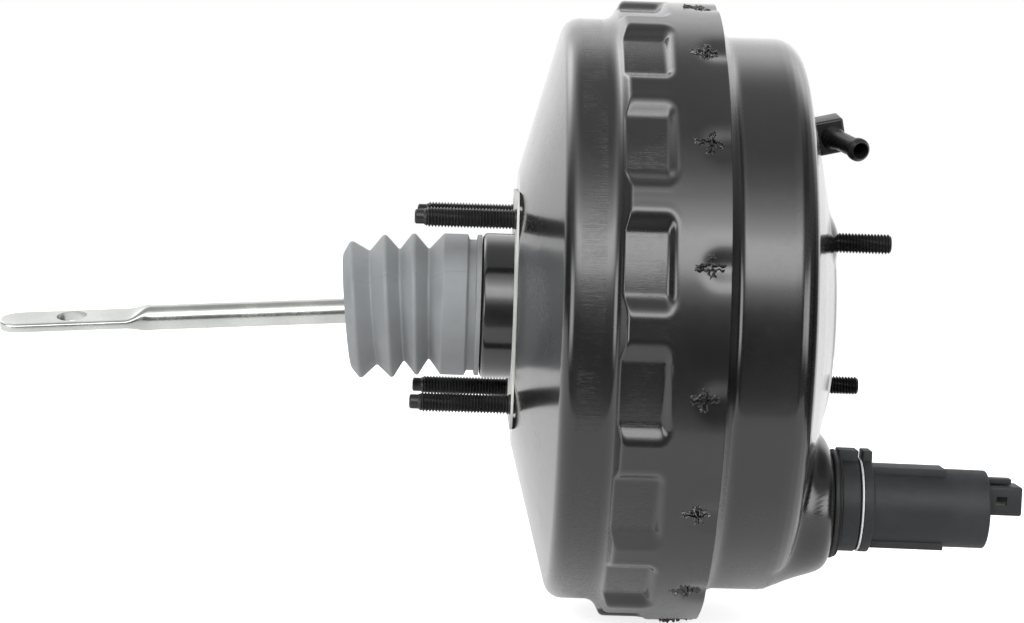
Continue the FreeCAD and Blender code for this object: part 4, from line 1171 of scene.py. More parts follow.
@dataclass
class Thread:
    """Stud thread: radius falls from crest to root as a triangle wave along the helix."""

    crest_r: float = 3.92
    depth: float = 0.72
    pitch: float = 1.25
    flank_slope: float = 1.25
    crest_flat: float = 0.12
    turn_steps: int = 40
    steps_per_pitch: int = 10

    def grid(self, base_x: float, tip_x: float, thread_x: float, limit: np.ndarray,
             spot: tuple[float, float]) -> np.ndarray:
        """Points of one stud along X.

        Args:
            base_x: start of the stud.
            tip_x: end of the stud; it may lie on either side of the start.
            thread_x: where the thread starts; the shank before it is plain.
            limit: (x, r) points of the blank that the thread is cut into, in rising x.
            spot: (y, z) of the stud's axis.

        Returns:
            A grid of points in metres, one row for each step along the stud.
        """
        count = int(abs(tip_x - base_x) / self.pitch * self.steps_per_pitch)
        even = np.linspace(min(base_x, tip_x), max(base_x, tip_x), count)
        x = np.union1d(even, limit[:, 0])[:, None]
        angle = even_angles(self.turn_steps)[None, :]
        phase = (x / self.pitch - angle / TAU) % 1
        wave = np.abs(2 * phase - 1)
        tooth = np.clip(wave * self.flank_slope - self.crest_flat, 0, 1)
        side = 1 if tip_x > base_x else -1
        fade = smooth_step((x - thread_x) * side / self.pitch)
        radius = self.crest_r - self.depth * tooth * fade
        radius = np.minimum(radius, np.interp(x[:, 0], limit[:, 0], limit[:, 1])[:, None])
        return np.stack(np.broadcast_arrays(
            x, spot[0] + radius * np.cos(angle), spot[1] + radius * np.sin(angle)), -1) * MM


@dataclass
class Fasteners:
    """Weld studs with their threads: four dog-point studs behind, two plain ones in front."""

    half: float = 36.0
    rear_tip_x: float = -40.4
    dog_length: float = 4.0
    dog_r: float = 2.85
    rear_head_x: float = 6.0
    head: float = 2.2
    head_r: float = 7.0
    head_round: float = 0.3
    step: float = 0.05
    front_spots: tuple[tuple[float, float], ...] = ((-36.01, 30.97), (36.01, -30.97))
    front_tip_x: float = 144.7
    front_head_x: float = 118.2
    rear_thread_x: float = -1.2
    front_thread_x: float = 122.1
    shank_end_x: float = 3.75

    def build(self, shop: FinishShop) -> None:
        """Builds both sets of studs.

        Args:
            shop: where the materials are.
        """
        thread = Thread()
        r = thread.crest_r
        rear = Sheet()
        tip, dog = self.rear_tip_x, self.rear_tip_x + self.dog_length
        limit = np.array([
            (tip, 1.6), (tip + 0.1, self.dog_r - 0.5), (tip + 0.6, self.dog_r),
            (dog - 0.5, self.dog_r), (dog, self.dog_r + 0.3), (dog + 1.1, r),
            (self.shank_end_x, r), (self.shank_end_x + self.step, self.head_r),
            (self.rear_head_x - self.head_round, self.head_r),
            (self.rear_head_x, self.head_r - self.head_round),
        ])
        for y in (-self.half, self.half):
            for z in (-self.half, self.half):
                grid = thread.grid(self.rear_head_x, tip, self.rear_thread_x, limit, (y, z))
                rear.add(grid, caps=True)
        piece = rear.build("rear_studs_threaded", 40.0)
        finish_piece(piece, shop, STUD, Body.HOUSING, "rear_studs")
        front = Sheet()
        tip, head_end = self.front_tip_x, self.front_head_x + self.head
        limit = np.array([
            (self.front_head_x, self.head_r - self.head_round),
            (self.front_head_x + self.head_round, self.head_r), (head_end, self.head_r),
            (head_end + self.step, r),
            (tip - 1.1, r), (tip - 0.1, r - 0.85), (tip, r - 1.2),
        ])
        for spot in self.front_spots:
            grid = thread.grid(self.front_head_x, tip, self.front_thread_x, limit, spot)
            front.add(grid, caps=True)
        piece = front.build("front_studs_threaded", 40.0)
        finish_piece(piece, shop, STUD, Body.HOUSING, "front_studs")


@dataclass
class Boot:
    """Grey rubber bellows: rings that sag and tilt towards the hanging rod, with a mould line."""

    turn_steps: int = 176
    wall_step: float = 1.2
    pivot_x: float = -10.0
    droop: float = 3.9
    end_x: float = -66.8
    lip_x: float = -13.6
    collar_x: float = -28.8
    collar_r: float = 28.3
    wall: float = 1.5
    tilt: float = 5.8
    rod_r: float = 5.05
    split_x: float = -45.0
    valley_r: float = 22.1
    lip_r: float = 27.6
    seat_r: float = 24.6
    seat_x: float = -21.8
    mouth_x: float = -65.6
    liner_r: float = 19.8
    liner_reach: float = 6.0
    liner_wall: float = 1.2
    seam_degrees: float = 150.0
    seam_height: float = 0.24
    seam_from_r: float = 20.0
    seam_half: float = 0.34
    seam_reach: float = 2.2
    stroke: float = 30.0

    def outline(self) -> list[tuple[float, ...]]:
        """Outer skin from the rod to the collar's front edge.

        Returns:
            (x, r, round) corners in millimetres, as arc_path takes them.
        """
        return [
            (-67.2, self.rod_r + 0.2), (-67.4, 8.0, 1.0), (-66.9, 22.6, 5.0), (-63.3, 27.9, 1.3),
            (-56.3, 22.7, 0.8), (-50.3, 29.2, 1.2), (self.split_x, self.valley_r, 0.7),
            (-39.6, 29.1, 1.2), (-34.2, 21.8, 0.7), (self.collar_x, self.collar_r, 0.8),
            (-19.4, self.collar_r, 0.4), (-18.5, 26.2, 0.4), (-15.8, 26.2, 0.3),
            (-15.4, 28.2, 0.4), (-13.7, 28.2, 0.5),
        ]

    def hung(self, loop: np.ndarray, is_outer: np.ndarray) -> np.ndarray:
        """Carries a closed (x, r) loop round the axis and lets it hang.

        A point (x, r) at an angle goes on a ring about X, then sinks and tilts. The share s runs
        from 0 at the collar to 1 at the rod's end; the ring sinks by drop times (1.5 s^2 - 0.5 s^3)
        and tilts by the tilt times (1 - (1 - s)^2). The seam is a narrow bell over the angle.

        Args:
            loop: points of the wall's section, in millimetres.
            is_outer: which of them lie on the outer skin, where the seam stands out.

        Returns:
            A grid of points in metres.
        """
        seams = [math.radians(self.seam_degrees), math.radians(self.seam_degrees + 180)]
        beside = np.linspace(-1, 1, 9) * self.seam_reach * self.seam_half / self.collar_r
        even = even_angles(self.turn_steps)
        angles = np.unique(np.concatenate([even] + [s + beside for s in seams]) % TAU)[None, :]
        x, r = loop[:, 0][:, None], loop[:, 1][:, None]
        bell = sum(np.exp(-((((angles - s + math.pi) % TAU) - math.pi) * r / self.seam_half) ** 2)
                   for s in seams)
        r = r + self.seam_height * bell * is_outer[:, None] * (r > self.seam_from_r)
        share = np.clip((self.collar_x - x) / (self.collar_x - self.end_x), 0, 1)
        drop = math.tan(math.radians(self.droop)) * (self.pivot_x - self.end_x)
        sink = drop * (1.5 * share ** 2 - 0.5 * share ** 3)
        lean = math.radians(self.tilt) * (1 - (1 - share) ** 2)
        y, z = r * np.cos(angles), r * np.sin(angles)
        hung = (x - z * np.sin(lean), y, z * np.cos(lean) - sink)
        return np.stack(np.broadcast_arrays(*hung), -1) * MM

    def build(self, shop: FinishShop) -> None:
        """Builds the boot as two pieces that meet in its middle valley.

        The collar's piece stays on the neck and the other goes with the rod, so the rod can swing
        while the collar keeps its seat. A liner under the valley belongs to the collar's piece and
        closes the opening.

        Args:
            shop: where the materials are.
        """
        outer = refine(arc_path(self.outline(), arc_steps=6), self.wall_step)
        lip = np.array([[self.lip_x, self.lip_r], [self.lip_x, self.seat_r],
                        [self.seat_x, self.seat_r - 0.05]])
        inner = offset_path(outer, self.wall)[::-1]
        inner = inner[(inner[:, 0] < self.collar_x + 2.5) & (inner[:, 1] > self.rod_r + 0.3)]
        off = np.hypot(outer[:, 0] - self.split_x, outer[:, 1] - self.valley_r)
        valley = int(np.argmin(off))
        x, r, wall = self.split_x, self.liner_r, self.liner_wall
        liner = np.array([[x + wall, r - wall], [x - self.liner_reach, r - wall],
                          [x - self.liner_reach, r], [x - 0.4, r]])
        front = [outer[valley:], lip, inner[inner[:, 0] > x], liner]
        back = [outer[:valley + 1], inner[inner[:, 0] <= x], [[self.mouth_x, self.rod_r + 0.1]]]
        for name, body, parts, anchor_x in (
            ("boot_collar", Body.HOUSING, front, self.lip_x),
            ("boot_bellows", Body.ROD, back, self.end_x),
        ):
            loop = np.concatenate(parts)
            is_outer = np.arange(len(loop)) < len(parts[0])
            piece = Sheet().add(self.hung(loop, is_outer), wrap_rows=True).build(name, 60.0)
            finish_piece(piece, shop, GREY_RUBBER, body, "boot")
            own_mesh(piece)


@dataclass
class PushRod:
    """Zinc plated input rod: ball, neck, round shank, pressed taper and flat tang with its hole."""

    pivot_x: float = -10.0
    droop: float = 3.9
    ball_r: float = 6.45
    ball_open: float = 0.66
    neck_r: float = 4.0
    neck_x: float = -24.0
    neck_slope: float = 1.0
    rod_r: float = 5.0
    round_end_x: float = -144.5
    taper: float = 11.0
    swell: tuple[float, float, float] = (0.35, 3.5, 3.0)
    squareness: float = 3.2
    tip_x: float = -205.8
    tip_length: float = 9.0
    tip_round: float = 0.8
    half_width: float = 8.5
    half_thick: float = 2.0
    twist: float = 15.0
    pin_x: float = -177.0
    pin_r: float = 6.0
    pin_reach: float = 12.0
    turn_steps: int = 64
    pin_steps: int = 72

    def section(self, x: np.ndarray) -> tuple[np.ndarray, np.ndarray, np.ndarray]:
        """Section of the flattened end at each x.

        The width and the thickness ease from the shank's radius to the tang's; a Gaussian swell
        stands where the pressing starts, and both narrow along a quarter ellipse at the tip.

        Args:
            x: where along the rod, in millimetres.

        Returns:
            Half width, half thickness and the superellipse's power.
        """
        share = smooth_step((self.round_end_x - x) / self.taper)
        height, back, half = self.swell
        swell = np.exp(-((x - self.round_end_x + back) / half) ** 2) * height
        wide = self.rod_r + (self.half_width - self.rod_r) * share
        thick = self.rod_r + (self.half_thick - self.rod_r) * share + swell
        tip = np.clip((self.tip_x + self.half_width - x) / self.half_width, 0, 0.9995)
        wide = wide * np.sqrt(1 - tip ** 2)
        edge = np.clip((self.tip_x + self.tip_round - x) / self.tip_round, 0, 0.9)
        thick = thick * np.sqrt(1 - edge ** 2)
        return wide, thick, 2 + self.squareness * share

    def build(self, shop: FinishShop) -> None:
        """Builds shank and tang.

        The shank is turned. The tang's rings are superellipses: y is the half width times the sign
        and the 2/n power of cos a, and z the same with sin a, where n grows from 2 to 5.

        Args:
            shop: where the materials are.
        """
        place = Placing(self.pivot_x, (0, 1, 0), -self.droop)
        angles = even_angles(self.turn_steps)
        ball = np.linspace(0.02, math.pi - self.ball_open, 24)
        ball_path = self.ball_r * np.stack([np.cos(ball), np.sin(ball)], -1)
        ball_path[:, 0] += self.pivot_x
        shank = arc_path([(ball_path[-1, 0], self.neck_r), (self.neck_x, self.neck_r, 0.4),
                          (self.neck_x - self.neck_slope, self.rod_r, 0.4),
                          (self.round_end_x, self.rod_r)])
        path = np.concatenate([ball_path, refine(shank, 5.0)[1:]])
        taper_end, tip_start = self.round_end_x - self.taper, self.tip_x + self.tip_length
        quarter = np.linspace(0, math.pi / 2, 26)
        x = np.concatenate([np.linspace(self.round_end_x, taper_end, 24)[1:],
                            np.linspace(taper_end, tip_start, 16)[1:],
                            self.tip_x + self.tip_length * (1 - np.sin(quarter))[1:]])
        wide, thick, power = (value[:, None] for value in self.section(x))
        cos, sin = np.cos(angles)[None, :], np.sin(angles)[None, :]
        y = wide * np.sign(cos) * np.abs(cos) ** (2 / power)
        z = thick * np.sign(sin) * np.abs(sin) ** (2 / power)
        turn = math.radians(self.twist)
        flat = about_x(np.stack(np.broadcast_arrays(x[:, None], y, z), -1), turn) * MM
        grid = place(np.concatenate([spun(path, angles + turn), flat]))
        piece = Sheet().add(grid, caps=True).build("input_rod_forged", 32.0)
        hole = np.array([[-self.pin_reach, self.pin_r], [self.pin_reach, self.pin_r]])
        upright = spun(hole, even_angles(self.pin_steps))[..., [1, 2, 0]]
        upright += np.array([self.pin_x * MM, 0, 0])
        tool = Sheet().add(place(about_x(upright, turn)), caps=True).build("pin_hole_tool")
        cut(piece, [tool])
        finish_piece(piece, shop, ZINC, Body.ROD, "input_rod")


@dataclass
class VacuumElbow:
    """Moulded elbow: square body on the dome, and a hose tube with a bead and an open bore."""

    seat: tuple[float, float] = (12.0, 71.0)
    tilt: float = 13.0
    block: tuple[float, float, float] = (12.5, 12.0, 14.0)
    block_bevel: float = 1.1
    base: float = 2.05
    yaw: float = 18.0
    drop: float = 11.8
    length: float = 31.2
    tube_r: float = 3.8
    bead_r: float = 4.65
    bore_r: float = 3.15
    bore_depth: float = 14.0
    root: float = 4.0
    root_r: float = 5.1
    core_r: float = 0.3
    turn_steps: int = 64

    def build(self, shop: FinishShop, dome_x: float) -> None:
        """Builds block and tube.

        The tube leaves the block's middle. A point (s, r) of its profile at an angle lies s along
        the tube's way and r out from it, where out is the sum of side times the cosine and up
        times the sine.

        Args:
            shop: where the materials are.
            dome_x: X of the dome's skin at the seat, in millimetres.
        """
        y, z = self.seat
        place = Placing(0.0, (0.0, -z, y), self.tilt, (dome_x, y, z))
        yaw, drop = math.radians(self.yaw), math.radians(self.drop)
        centre = np.array([self.base + self.block[0] / 2, 0.0, 0.0])
        block = rounded_box("vacuum_elbow_block", np.array(self.block), centre, self.block_bevel,
                            4, lambda points: place(about_x(points, drop)))
        finish_piece(block, shop, MOULDING, Body.HOUSING, "vacuum_elbow")

        middle = place(centre * MM)
        way = np.array([math.sin(yaw), -math.cos(yaw) * math.cos(drop),
                        -math.cos(yaw) * math.sin(drop)])
        side = np.cross(way, [0, 0, 1.0])
        side /= np.linalg.norm(side)
        up = np.cross(side, way)
        end = self.length
        corners = [
            (self.root, self.root_r), (self.root + 2.2, self.root_r, 0.6),
            (self.root + 5.2, self.tube_r, 1.5), (end - 5.0, self.tube_r, 0.8),
            (end - 3.6, self.bead_r, 0.9), (end - 1.6, self.bead_r, 0.9),
            (end - 0.4, self.tube_r - 0.1, 0.4), (end, self.tube_r - 0.35, 0.25),
            (end, self.bore_r, 0.2), (end - self.bore_depth, self.bore_r),
            (end - self.bore_depth, self.core_r), (self.root, self.core_r),
        ]
        path = refine(arc_path(corners), 2.0)
        angles = even_angles(self.turn_steps)
        s, r = path[:, 0][:, None, None], path[:, 1][:, None, None]
        ring = side * np.cos(angles)[None, :, None] + up * np.sin(angles)[None, :, None]
        grid = middle + (way * s + ring * r) * MM
        tube = Sheet().add(grid, wrap_rows=True).build("vacuum_elbow_tube", 40.0)
        finish_piece(tube, shop, MOULDING, Body.HOUSING)


@dataclass
class TravelSensor:
    """Travel sensor on its boss: ribbed grommet, adapter, wire ring, barrel and plug shroud."""

    centre: tuple[float, float] = (-27.0, -72.0)
    tilt: float = 0.6
    boss_x: float = 125.5
    adapter_x: float = 129.0
    adapter_r: float = 18.5
    adapter_length: float = 7.0
    neck_r: float = 14.0
    stem_r: float = 11.9
    lug_width: float = 11.0
    lug_height: float = 3.3
    wire_r: float = 0.42
    wire_space: float = 1.6
    flange: float = 3.8
    body_r: float = 15.5
    body_end_x: float = 187.3
    pad_length: float = 29.0
    pad_half: float = 8.0
    pad_rise: float = 0.4
    plug_length: float = 13.5
    plug_height: float = 11.4
    plug_width: float = 15.0
    plug_rise: float = 4.4
    plug_wall: float = 1.3
    window_x: tuple[float, float] = (3.4, 7.5)
    window_half: float = 1.75
    tab_length: float = 9.7
    tab_half: float = 3.0
    tab_thick: float = 2.2
    tab_gap: float = 0.4
    turn_steps: int = 112
    wire_steps: int = 14

    @property
    def place(self) -> Placing:
        """Puts a form drawn along X on the boss, tilted outwards."""
        y, z = self.centre
        return Placing(self.boss_x, (0.0, -z, y), self.tilt, (0.0, y, z))

    @property
    def ring_x(self) -> float:
        """X where the adapter ends and the wire ring starts."""
        return self.adapter_x + self.adapter_length

    @property
    def flange_x(self) -> tuple[float, float]:
        """X of the barrel flange's two faces."""
        start = self.ring_x + self.wire_space
        return start, start + self.flange

    def lathe(self, name: str, corners: list[tuple[float, ...]]) -> bpy.types.Object:
        """Makes a turned piece and puts it on the boss.

        Args:
            name: the piece's name.
            corners: its closed (x, r, round) profile, in millimetres.

        Returns:
            The object, linked into the scene.
        """
        path = refine(arc_path(corners, closed=True, arc_steps=5), 3.0, closed=True)
        grid = self.place(spun(path, even_angles(self.turn_steps)))
        return Sheet().add(grid, wrap_rows=True).build(name, 40.0)

    def slab(self, name: str, low: tuple[float, float, float], high: tuple[float, float, float],
             bevel: float) -> bpy.types.Object:
        """Makes a box between two corners, with rounded edges, and puts it on the boss.

        Args:
            name: the piece's name.
            low: the corner with the smallest coordinates, in millimetres.
            high: the opposite corner.
            bevel: how far the rounding reaches.

        Returns:
            The object, linked into the scene.
        """
        centre, size = (np.array(low) + high) / 2, np.array(high) - low
        return rounded_box(name, size, centre, bevel, 3, self.place)

    def build(self, shop: FinishShop) -> None:
        """Builds every visible piece of the sensor.

        Args:
            shop: where the materials are.
        """
        self.build_mount(shop)
        self.build_wire(shop)
        self.build_barrel(shop)
        self.build_plug(shop)

    def build_mount(self, shop: FinishShop) -> None:
        """Builds the grommet, the adapter ring and the two lugs.

        Args:
            shop: where the materials are.
        """
        x0, r, ring_x = self.boss_x, self.adapter_r, self.ring_x
        grommet = self.lathe("sensor_grommet_ribbed", [
            (x0 - 4.0, self.neck_r), (x0 - 4.0, 18.4, 0.8), (x0 - 1.85, 18.9, 0.4),
            (x0 - 1.85, 17.0), (x0 + 0.05, 17.0), (x0 + 0.05, 21.5, 0.9), (x0 + 2.1, 21.4, 0.9),
            (x0 + 2.4, 19.4, 0.3), (x0 + 2.7, 20.7, 0.4), (x0 + 3.3, 20.5, 0.4),
            (x0 + 3.45, 19.0, 0.2), (x0 + 3.45, self.neck_r),
        ])
        finish_piece(grommet, shop, BLACK_RUBBER, Body.HOUSING, "sensor_grommet")
        inner_r, sleeve_r = 12.0, 13.95
        adapter = self.lathe("sensor_adapter", [
            (x0 - 2.0, inner_r), (x0 - 2.0, sleeve_r, 0.3), (self.adapter_x, sleeve_r),
            (self.adapter_x, r, 0.5), (ring_x, r, 0.5), (ring_x, inner_r),
        ])
        finish_piece(adapter, shop, SENSOR, Body.HOUSING, "sensor_adapter_ring")
        half = self.lug_width / 2
        for name, low_x, high_x in (("sensor_adapter_lug", self.adapter_x - 0.9, ring_x),
                                    ("sensor_flange_lug", *self.flange_x)):
            lug = self.slab(name, (low_x, -half, r - 4), (high_x, half, r + self.lug_height), 0.5)
            finish_piece(lug, shop, SENSOR, Body.HOUSING)

    def build_wire(self, shop: FinishShop) -> None:
        """Builds the ring of white wire, a round section carried round the adapter's edge.

        Args:
            shop: where the materials are.
        """
        steps, tube = even_angles(self.turn_steps), even_angles(self.wire_steps)[:, None]
        x = self.ring_x + self.wire_space * 0.7 + self.wire_r * np.sin(tube)
        radius = self.adapter_r - 0.1 - self.wire_r + self.wire_r * np.cos(tube)
        ring = (x, radius * np.cos(steps), radius * np.sin(steps))
        grid = self.place(np.stack(np.broadcast_arrays(*ring), -1) * MM)
        wire = Sheet().add(grid, wrap_rows=True).build("sensor_wire")
        finish_piece(wire, shop, WIRE, Body.HOUSING, "sensor_wire_ring")

    def build_barrel(self, shop: FinishShop) -> None:
        """Builds the barrel with its flange, and the bare pads above and below.

        Args:
            shop: where the materials are.
        """
        x0, r, end = self.boss_x, self.adapter_r, self.body_end_x
        flange_start, flange_end = self.flange_x
        barrel = self.lathe("sensor_barrel", [
            (x0, 7.0), (x0, self.stem_r), (flange_start - 1.2, self.stem_r),
            (flange_start - 1.2, r - 1.8), (flange_start, r - 1.8), (flange_start, r, 0.4),
            (flange_end, r, 0.6), (flange_end, self.body_r, 1.0), (end, self.body_r - 0.15, 0.9),
            (end, 1.0), (end - 3.0, 1.0), (end - 3.0, 7.0),
        ])
        finish_piece(barrel, shop, SENSOR, Body.HOUSING, "sensor_housing")
        half = self.pad_half
        for name, side in (("sensor_pad_top", 1), ("sensor_pad_bottom", -1)):
            z = sorted((side * (self.body_r - 3), side * (self.body_r + self.pad_rise)))
            pad = self.slab(name, (flange_end - 0.5, -half, z[0]),
                            (flange_end + self.pad_length, half, z[1]), 0.35)
            finish_piece(pad, shop, SENSOR, Body.HOUSING)

    def build_plug(self, shop: FinishShop) -> None:
        """Builds the plug's shroud with its cavity and its window, and the latch tab over it.

        Args:
            shop: where the materials are.
        """
        end, wall, rise = self.body_end_x, self.plug_wall, self.plug_rise
        z0, z1 = rise - self.plug_height / 2, rise + self.plug_height / 2
        half = self.plug_width / 2
        tip = end + self.plug_length
        shroud = self.slab("sensor_plug_shroud", (end - 1, -half, z0), (tip, half, z1), 0.9)
        cavity = self.slab("cavity_tool", (end + 0.5, -half + wall, z0 + wall),
                           (tip + 3, half - wall, z1 - wall), 0.5)
        window = self.slab(
            "window_tool", (end + self.window_x[0], -half - 2, rise - self.window_half),
            (end + self.window_x[1], -half + wall + 1, rise + self.window_half), 0.25)
        cut(shroud, [cavity, window])
        finish_piece(shroud, shop, SENSOR, Body.HOUSING)
        wide, low = self.tab_half, z1 + self.tab_gap
        tab = self.slab("sensor_plug_tab", (end - 1, -wide, low),
                        (end + self.tab_length, wide, low + self.tab_thick), 0.35)
        finish_piece(tab, shop, SENSOR, Body.HOUSING)
        root = self.slab("sensor_plug_tab_root", (end - 1, -wide, z1 - 1),
                         (end + 1.2, wide, low + 0.5), 0.2)
        finish_piece(root, shop, SENSOR, Body.HOUSING)


@dataclass(frozen=True)
class Spring:
    """One coil spring about X.

    Attributes:
        name: the piece's name.
        node: the CAD node that it stands for.
        coil_r: radius of the helix, in millimetres.
        wire_r: radius of the wire.
        turns: number of turns.
        start_x: X where it starts.
        end_x: X where it ends.
        body: the body that it rides on.
        joint: the joint that would shorten it; not used.
        travel: how much shorter it gets at the joint's limit; not used.
        steps_per_turn: points along each turn.
        wire_steps: points round the wire.
    """

    name: str
    node: str
    coil_r: float
    wire_r: float
    turns: int
    start_x: float
    end_x: float
    body: Body
    joint: str
    travel: float
    steps_per_turn: int = 24
    wire_steps: int = 10

    def grid(self) -> np.ndarray:
        """Tube of round section carried along the helix.

        At the share t of its length the wire's middle has turned by the angle a; a point of the
        tube adds the wire's radius times (out cos b + across sin b), where out points away from
        the axis, across is square to it and to the wire, and b goes round the tube.

        Returns:
            A grid of points in metres.
        """
        t = np.linspace(0, 1, self.turns * self.steps_per_turn + 1)[:, None, None]
        zero = np.zeros_like(t)
        angle = t * self.turns * TAU
        around = even_angles(self.wire_steps)[None, :, None]
        rise = self.end_x - self.start_x - 2 * self.wire_r
        out = np.concatenate([zero, np.cos(angle), np.sin(angle)], -1)
        line = np.concatenate([self.start_x + self.wire_r + rise * t, zero, zero], -1)
        along = np.concatenate([zero + rise / self.turns / TAU, -np.sin(angle) * self.coil_r,
                                np.cos(angle) * self.coil_r], -1)
        along /= np.linalg.norm(along, axis=-1, keepdims=True)
        across = np.cross(along, out)
        section = self.wire_r * (out * np.cos(around) + across * np.sin(around))
        return (line + self.coil_r * out + section) * MM

    def build(self, shop: FinishShop, place: Placing | None = None) -> None:
        """Builds the spring and lets it ride on its body.

        Args:
            shop: where the materials are.
            place: where the spring goes, if not on the axis.
        """
        grid = self.grid()
        piece = Sheet().add(place(grid) if place else grid, caps=True).build(self.name)
        finish_piece(piece, shop, STEEL, self.body, self.node)
        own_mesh(piece)


@dataclass
class Diaphragm:
    """Rolling rubber between hub and rim, with a bead at each."""

    plate_x: float = 12.3
    hub_bead_x: float = 9.55
    hub_r: tuple[float, float] = (24.1, 29.0)
    rim_r: tuple[float, float] = (110.5, 120.75)
    rim_x: tuple[float, float] = (57.6, 60.75)
    roll_x: tuple[float, float] = (33.0, 57.0)
    wall: float = 1.8
    gap: float = 0.05
    turn_steps: int = 128

    def build(self, shop: FinishShop) -> None:
        """Builds the rubber between housing and piston, with its rolling part; it rides on no body.

        Its section is a line along the plate and up to the rim, closed by the same line moved
        sideways by the wall. It and the two beads are turned about X.

        Args:
            shop: where the materials are.
        """
        plate_x = self.plate_x - self.gap
        line = [(plate_x, 26.05), (plate_x, 72.0, 6.0), (20.0 - self.gap, 98.05, 5.0),
                (29.0, 99.05, 8.0), (59.2, 112.0)]
        skin = refine(arc_path(line), 2.0)
        loop = np.concatenate([skin, offset_path(skin, -self.wall)[::-1]])
        hub = [(self.hub_bead_x, self.hub_r[0]), (self.hub_bead_x, self.hub_r[1], 0.3),
               (plate_x, self.hub_r[1]), (plate_x, self.hub_r[0])]
        rim = [(self.rim_x[0], self.rim_r[0], 0.4), (self.rim_x[0], self.rim_r[1], 1.0),
               (self.rim_x[1], self.rim_r[1], 1.0), (self.rim_x[1], self.rim_r[0], 0.4)]
        turn = even_angles(self.turn_steps)
        rubber = Sheet().add(spun(loop, turn), wrap_rows=True)
        for bead in (hub, rim):
            rubber.add(spun(arc_path(bead, closed=True), turn), wrap_rows=True)
        piece = rubber.build("diaphragm_rubber", 50.0)
        finish_piece(piece, shop, BLACK_RUBBER, None, "diaphragm")
        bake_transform(piece)


@dataclass
class Works:
    """What is hidden inside: the springs and the rolling diaphragm."""

    stroke: float = 30.0
    valve_travel: float = 1.5

    def build(self, shop: FinishShop, sensor: TravelSensor) -> None:
        """Builds the four springs and the diaphragm.

        Args:
            shop: where the materials are.
            sensor: the sensor that the probe's spring sits in.
        """
        Spring("return_spring_coil", "return_spring", coil_r=36.0, wire_r=2.0, turns=5,
               start_x=13.8, end_x=120.4, body=Body.HOUSING, joint="piston_slide",
               travel=self.stroke).build(shop)
        Spring("rod_return_coil", "rod_return_spring", coil_r=11.0, wire_r=0.6, turns=4,
               start_x=-37.8, end_x=-28.3, body=Body.PISTON, joint="plunger_slide",
               travel=self.valve_travel).build(shop)
        Spring("poppet_coil", "poppet_spring", coil_r=8.6, wire_r=0.5, turns=6,
               start_x=-37.8, end_x=-18.8, body=Body.PISTON, joint="plunger_slide",
               travel=self.valve_travel).build(shop)
        Spring("probe_coil", "probe_spring", coil_r=5.2, wire_r=0.5, turns=9, start_x=150.0,
               end_x=sensor.body_end_x - 3.0, body=Body.HOUSING, joint="piston_slide",
               travel=self.stroke).build(shop, sensor.place)
        Diaphragm().build(shop)


@dataclass
class CarriedNodes:
    """CAD nodes whose own shape stays: each gets its finish and edges that shade true."""

    shade_degrees: float = 32.0
    merge_within: float = 0.000002

    def shading(self) -> bpy.types.NodeTree:
        """Geometry nodes that merge loose triangles and shade smooth below an angle.

        Returns:
            The node group.
        """
        tree = bpy.data.node_groups.new("merge_and_shade", "GeometryNodeTree")
        tree.interface.new_socket("Geometry", in_out="INPUT", socket_type="NodeSocketGeometry")
        tree.interface.new_socket("Geometry", in_out="OUTPUT", socket_type="NodeSocketGeometry")
        nodes, links = tree.nodes, tree.links
        source, sink = nodes.new("NodeGroupInput"), nodes.new("NodeGroupOutput")
        merge = nodes.new("GeometryNodeMergeByDistance")
        merge.inputs["Distance"].default_value = self.merge_within
        angle = nodes.new("GeometryNodeInputMeshEdgeAngle")
        limit = nodes.new("FunctionNodeCompare")
        limit.operation = "LESS_THAN"
        limit.inputs[1].default_value = math.radians(self.shade_degrees)
        faces = nodes.new("GeometryNodeSetShadeSmooth")
        faces.domain = "FACE"
        edges = nodes.new("GeometryNodeSetShadeSmooth")
        edges.domain = "EDGE"
        links.new(source.outputs[0], merge.inputs["Geometry"])
        links.new(merge.outputs["Geometry"], faces.inputs["Geometry"])
        links.new(faces.outputs["Geometry"], edges.inputs["Geometry"])
        links.new(angle.outputs["Unsigned Angle"], limit.inputs[0])
        links.new(limit.outputs[0], edges.inputs["Shade Smooth"])
        links.new(edges.outputs["Geometry"], sink.inputs[0])
        return tree

    def dress(self, shop: FinishShop) -> None:
        """Gives every node the finish of its slot in the record.

        Args:
            shop: where the materials are.
        """
        slots = {entry["node"]: entry["material_slot"] for entry in frame["record"]["subparts"]}
        finishes = {finish.slot: finish for finish in FINISHES}
        tree = self.shading()
        for name, node in frame["nodes"].items():
            finish = finishes[slots[name]]
            node.data.materials.clear()
            node.data.materials.append(shop.made[finish])
            modifier = node.modifiers.new("merge_and_shade", "NODES")
            modifier.node_group = tree
            log.info("node %s has finish %s", name, finish.slot)


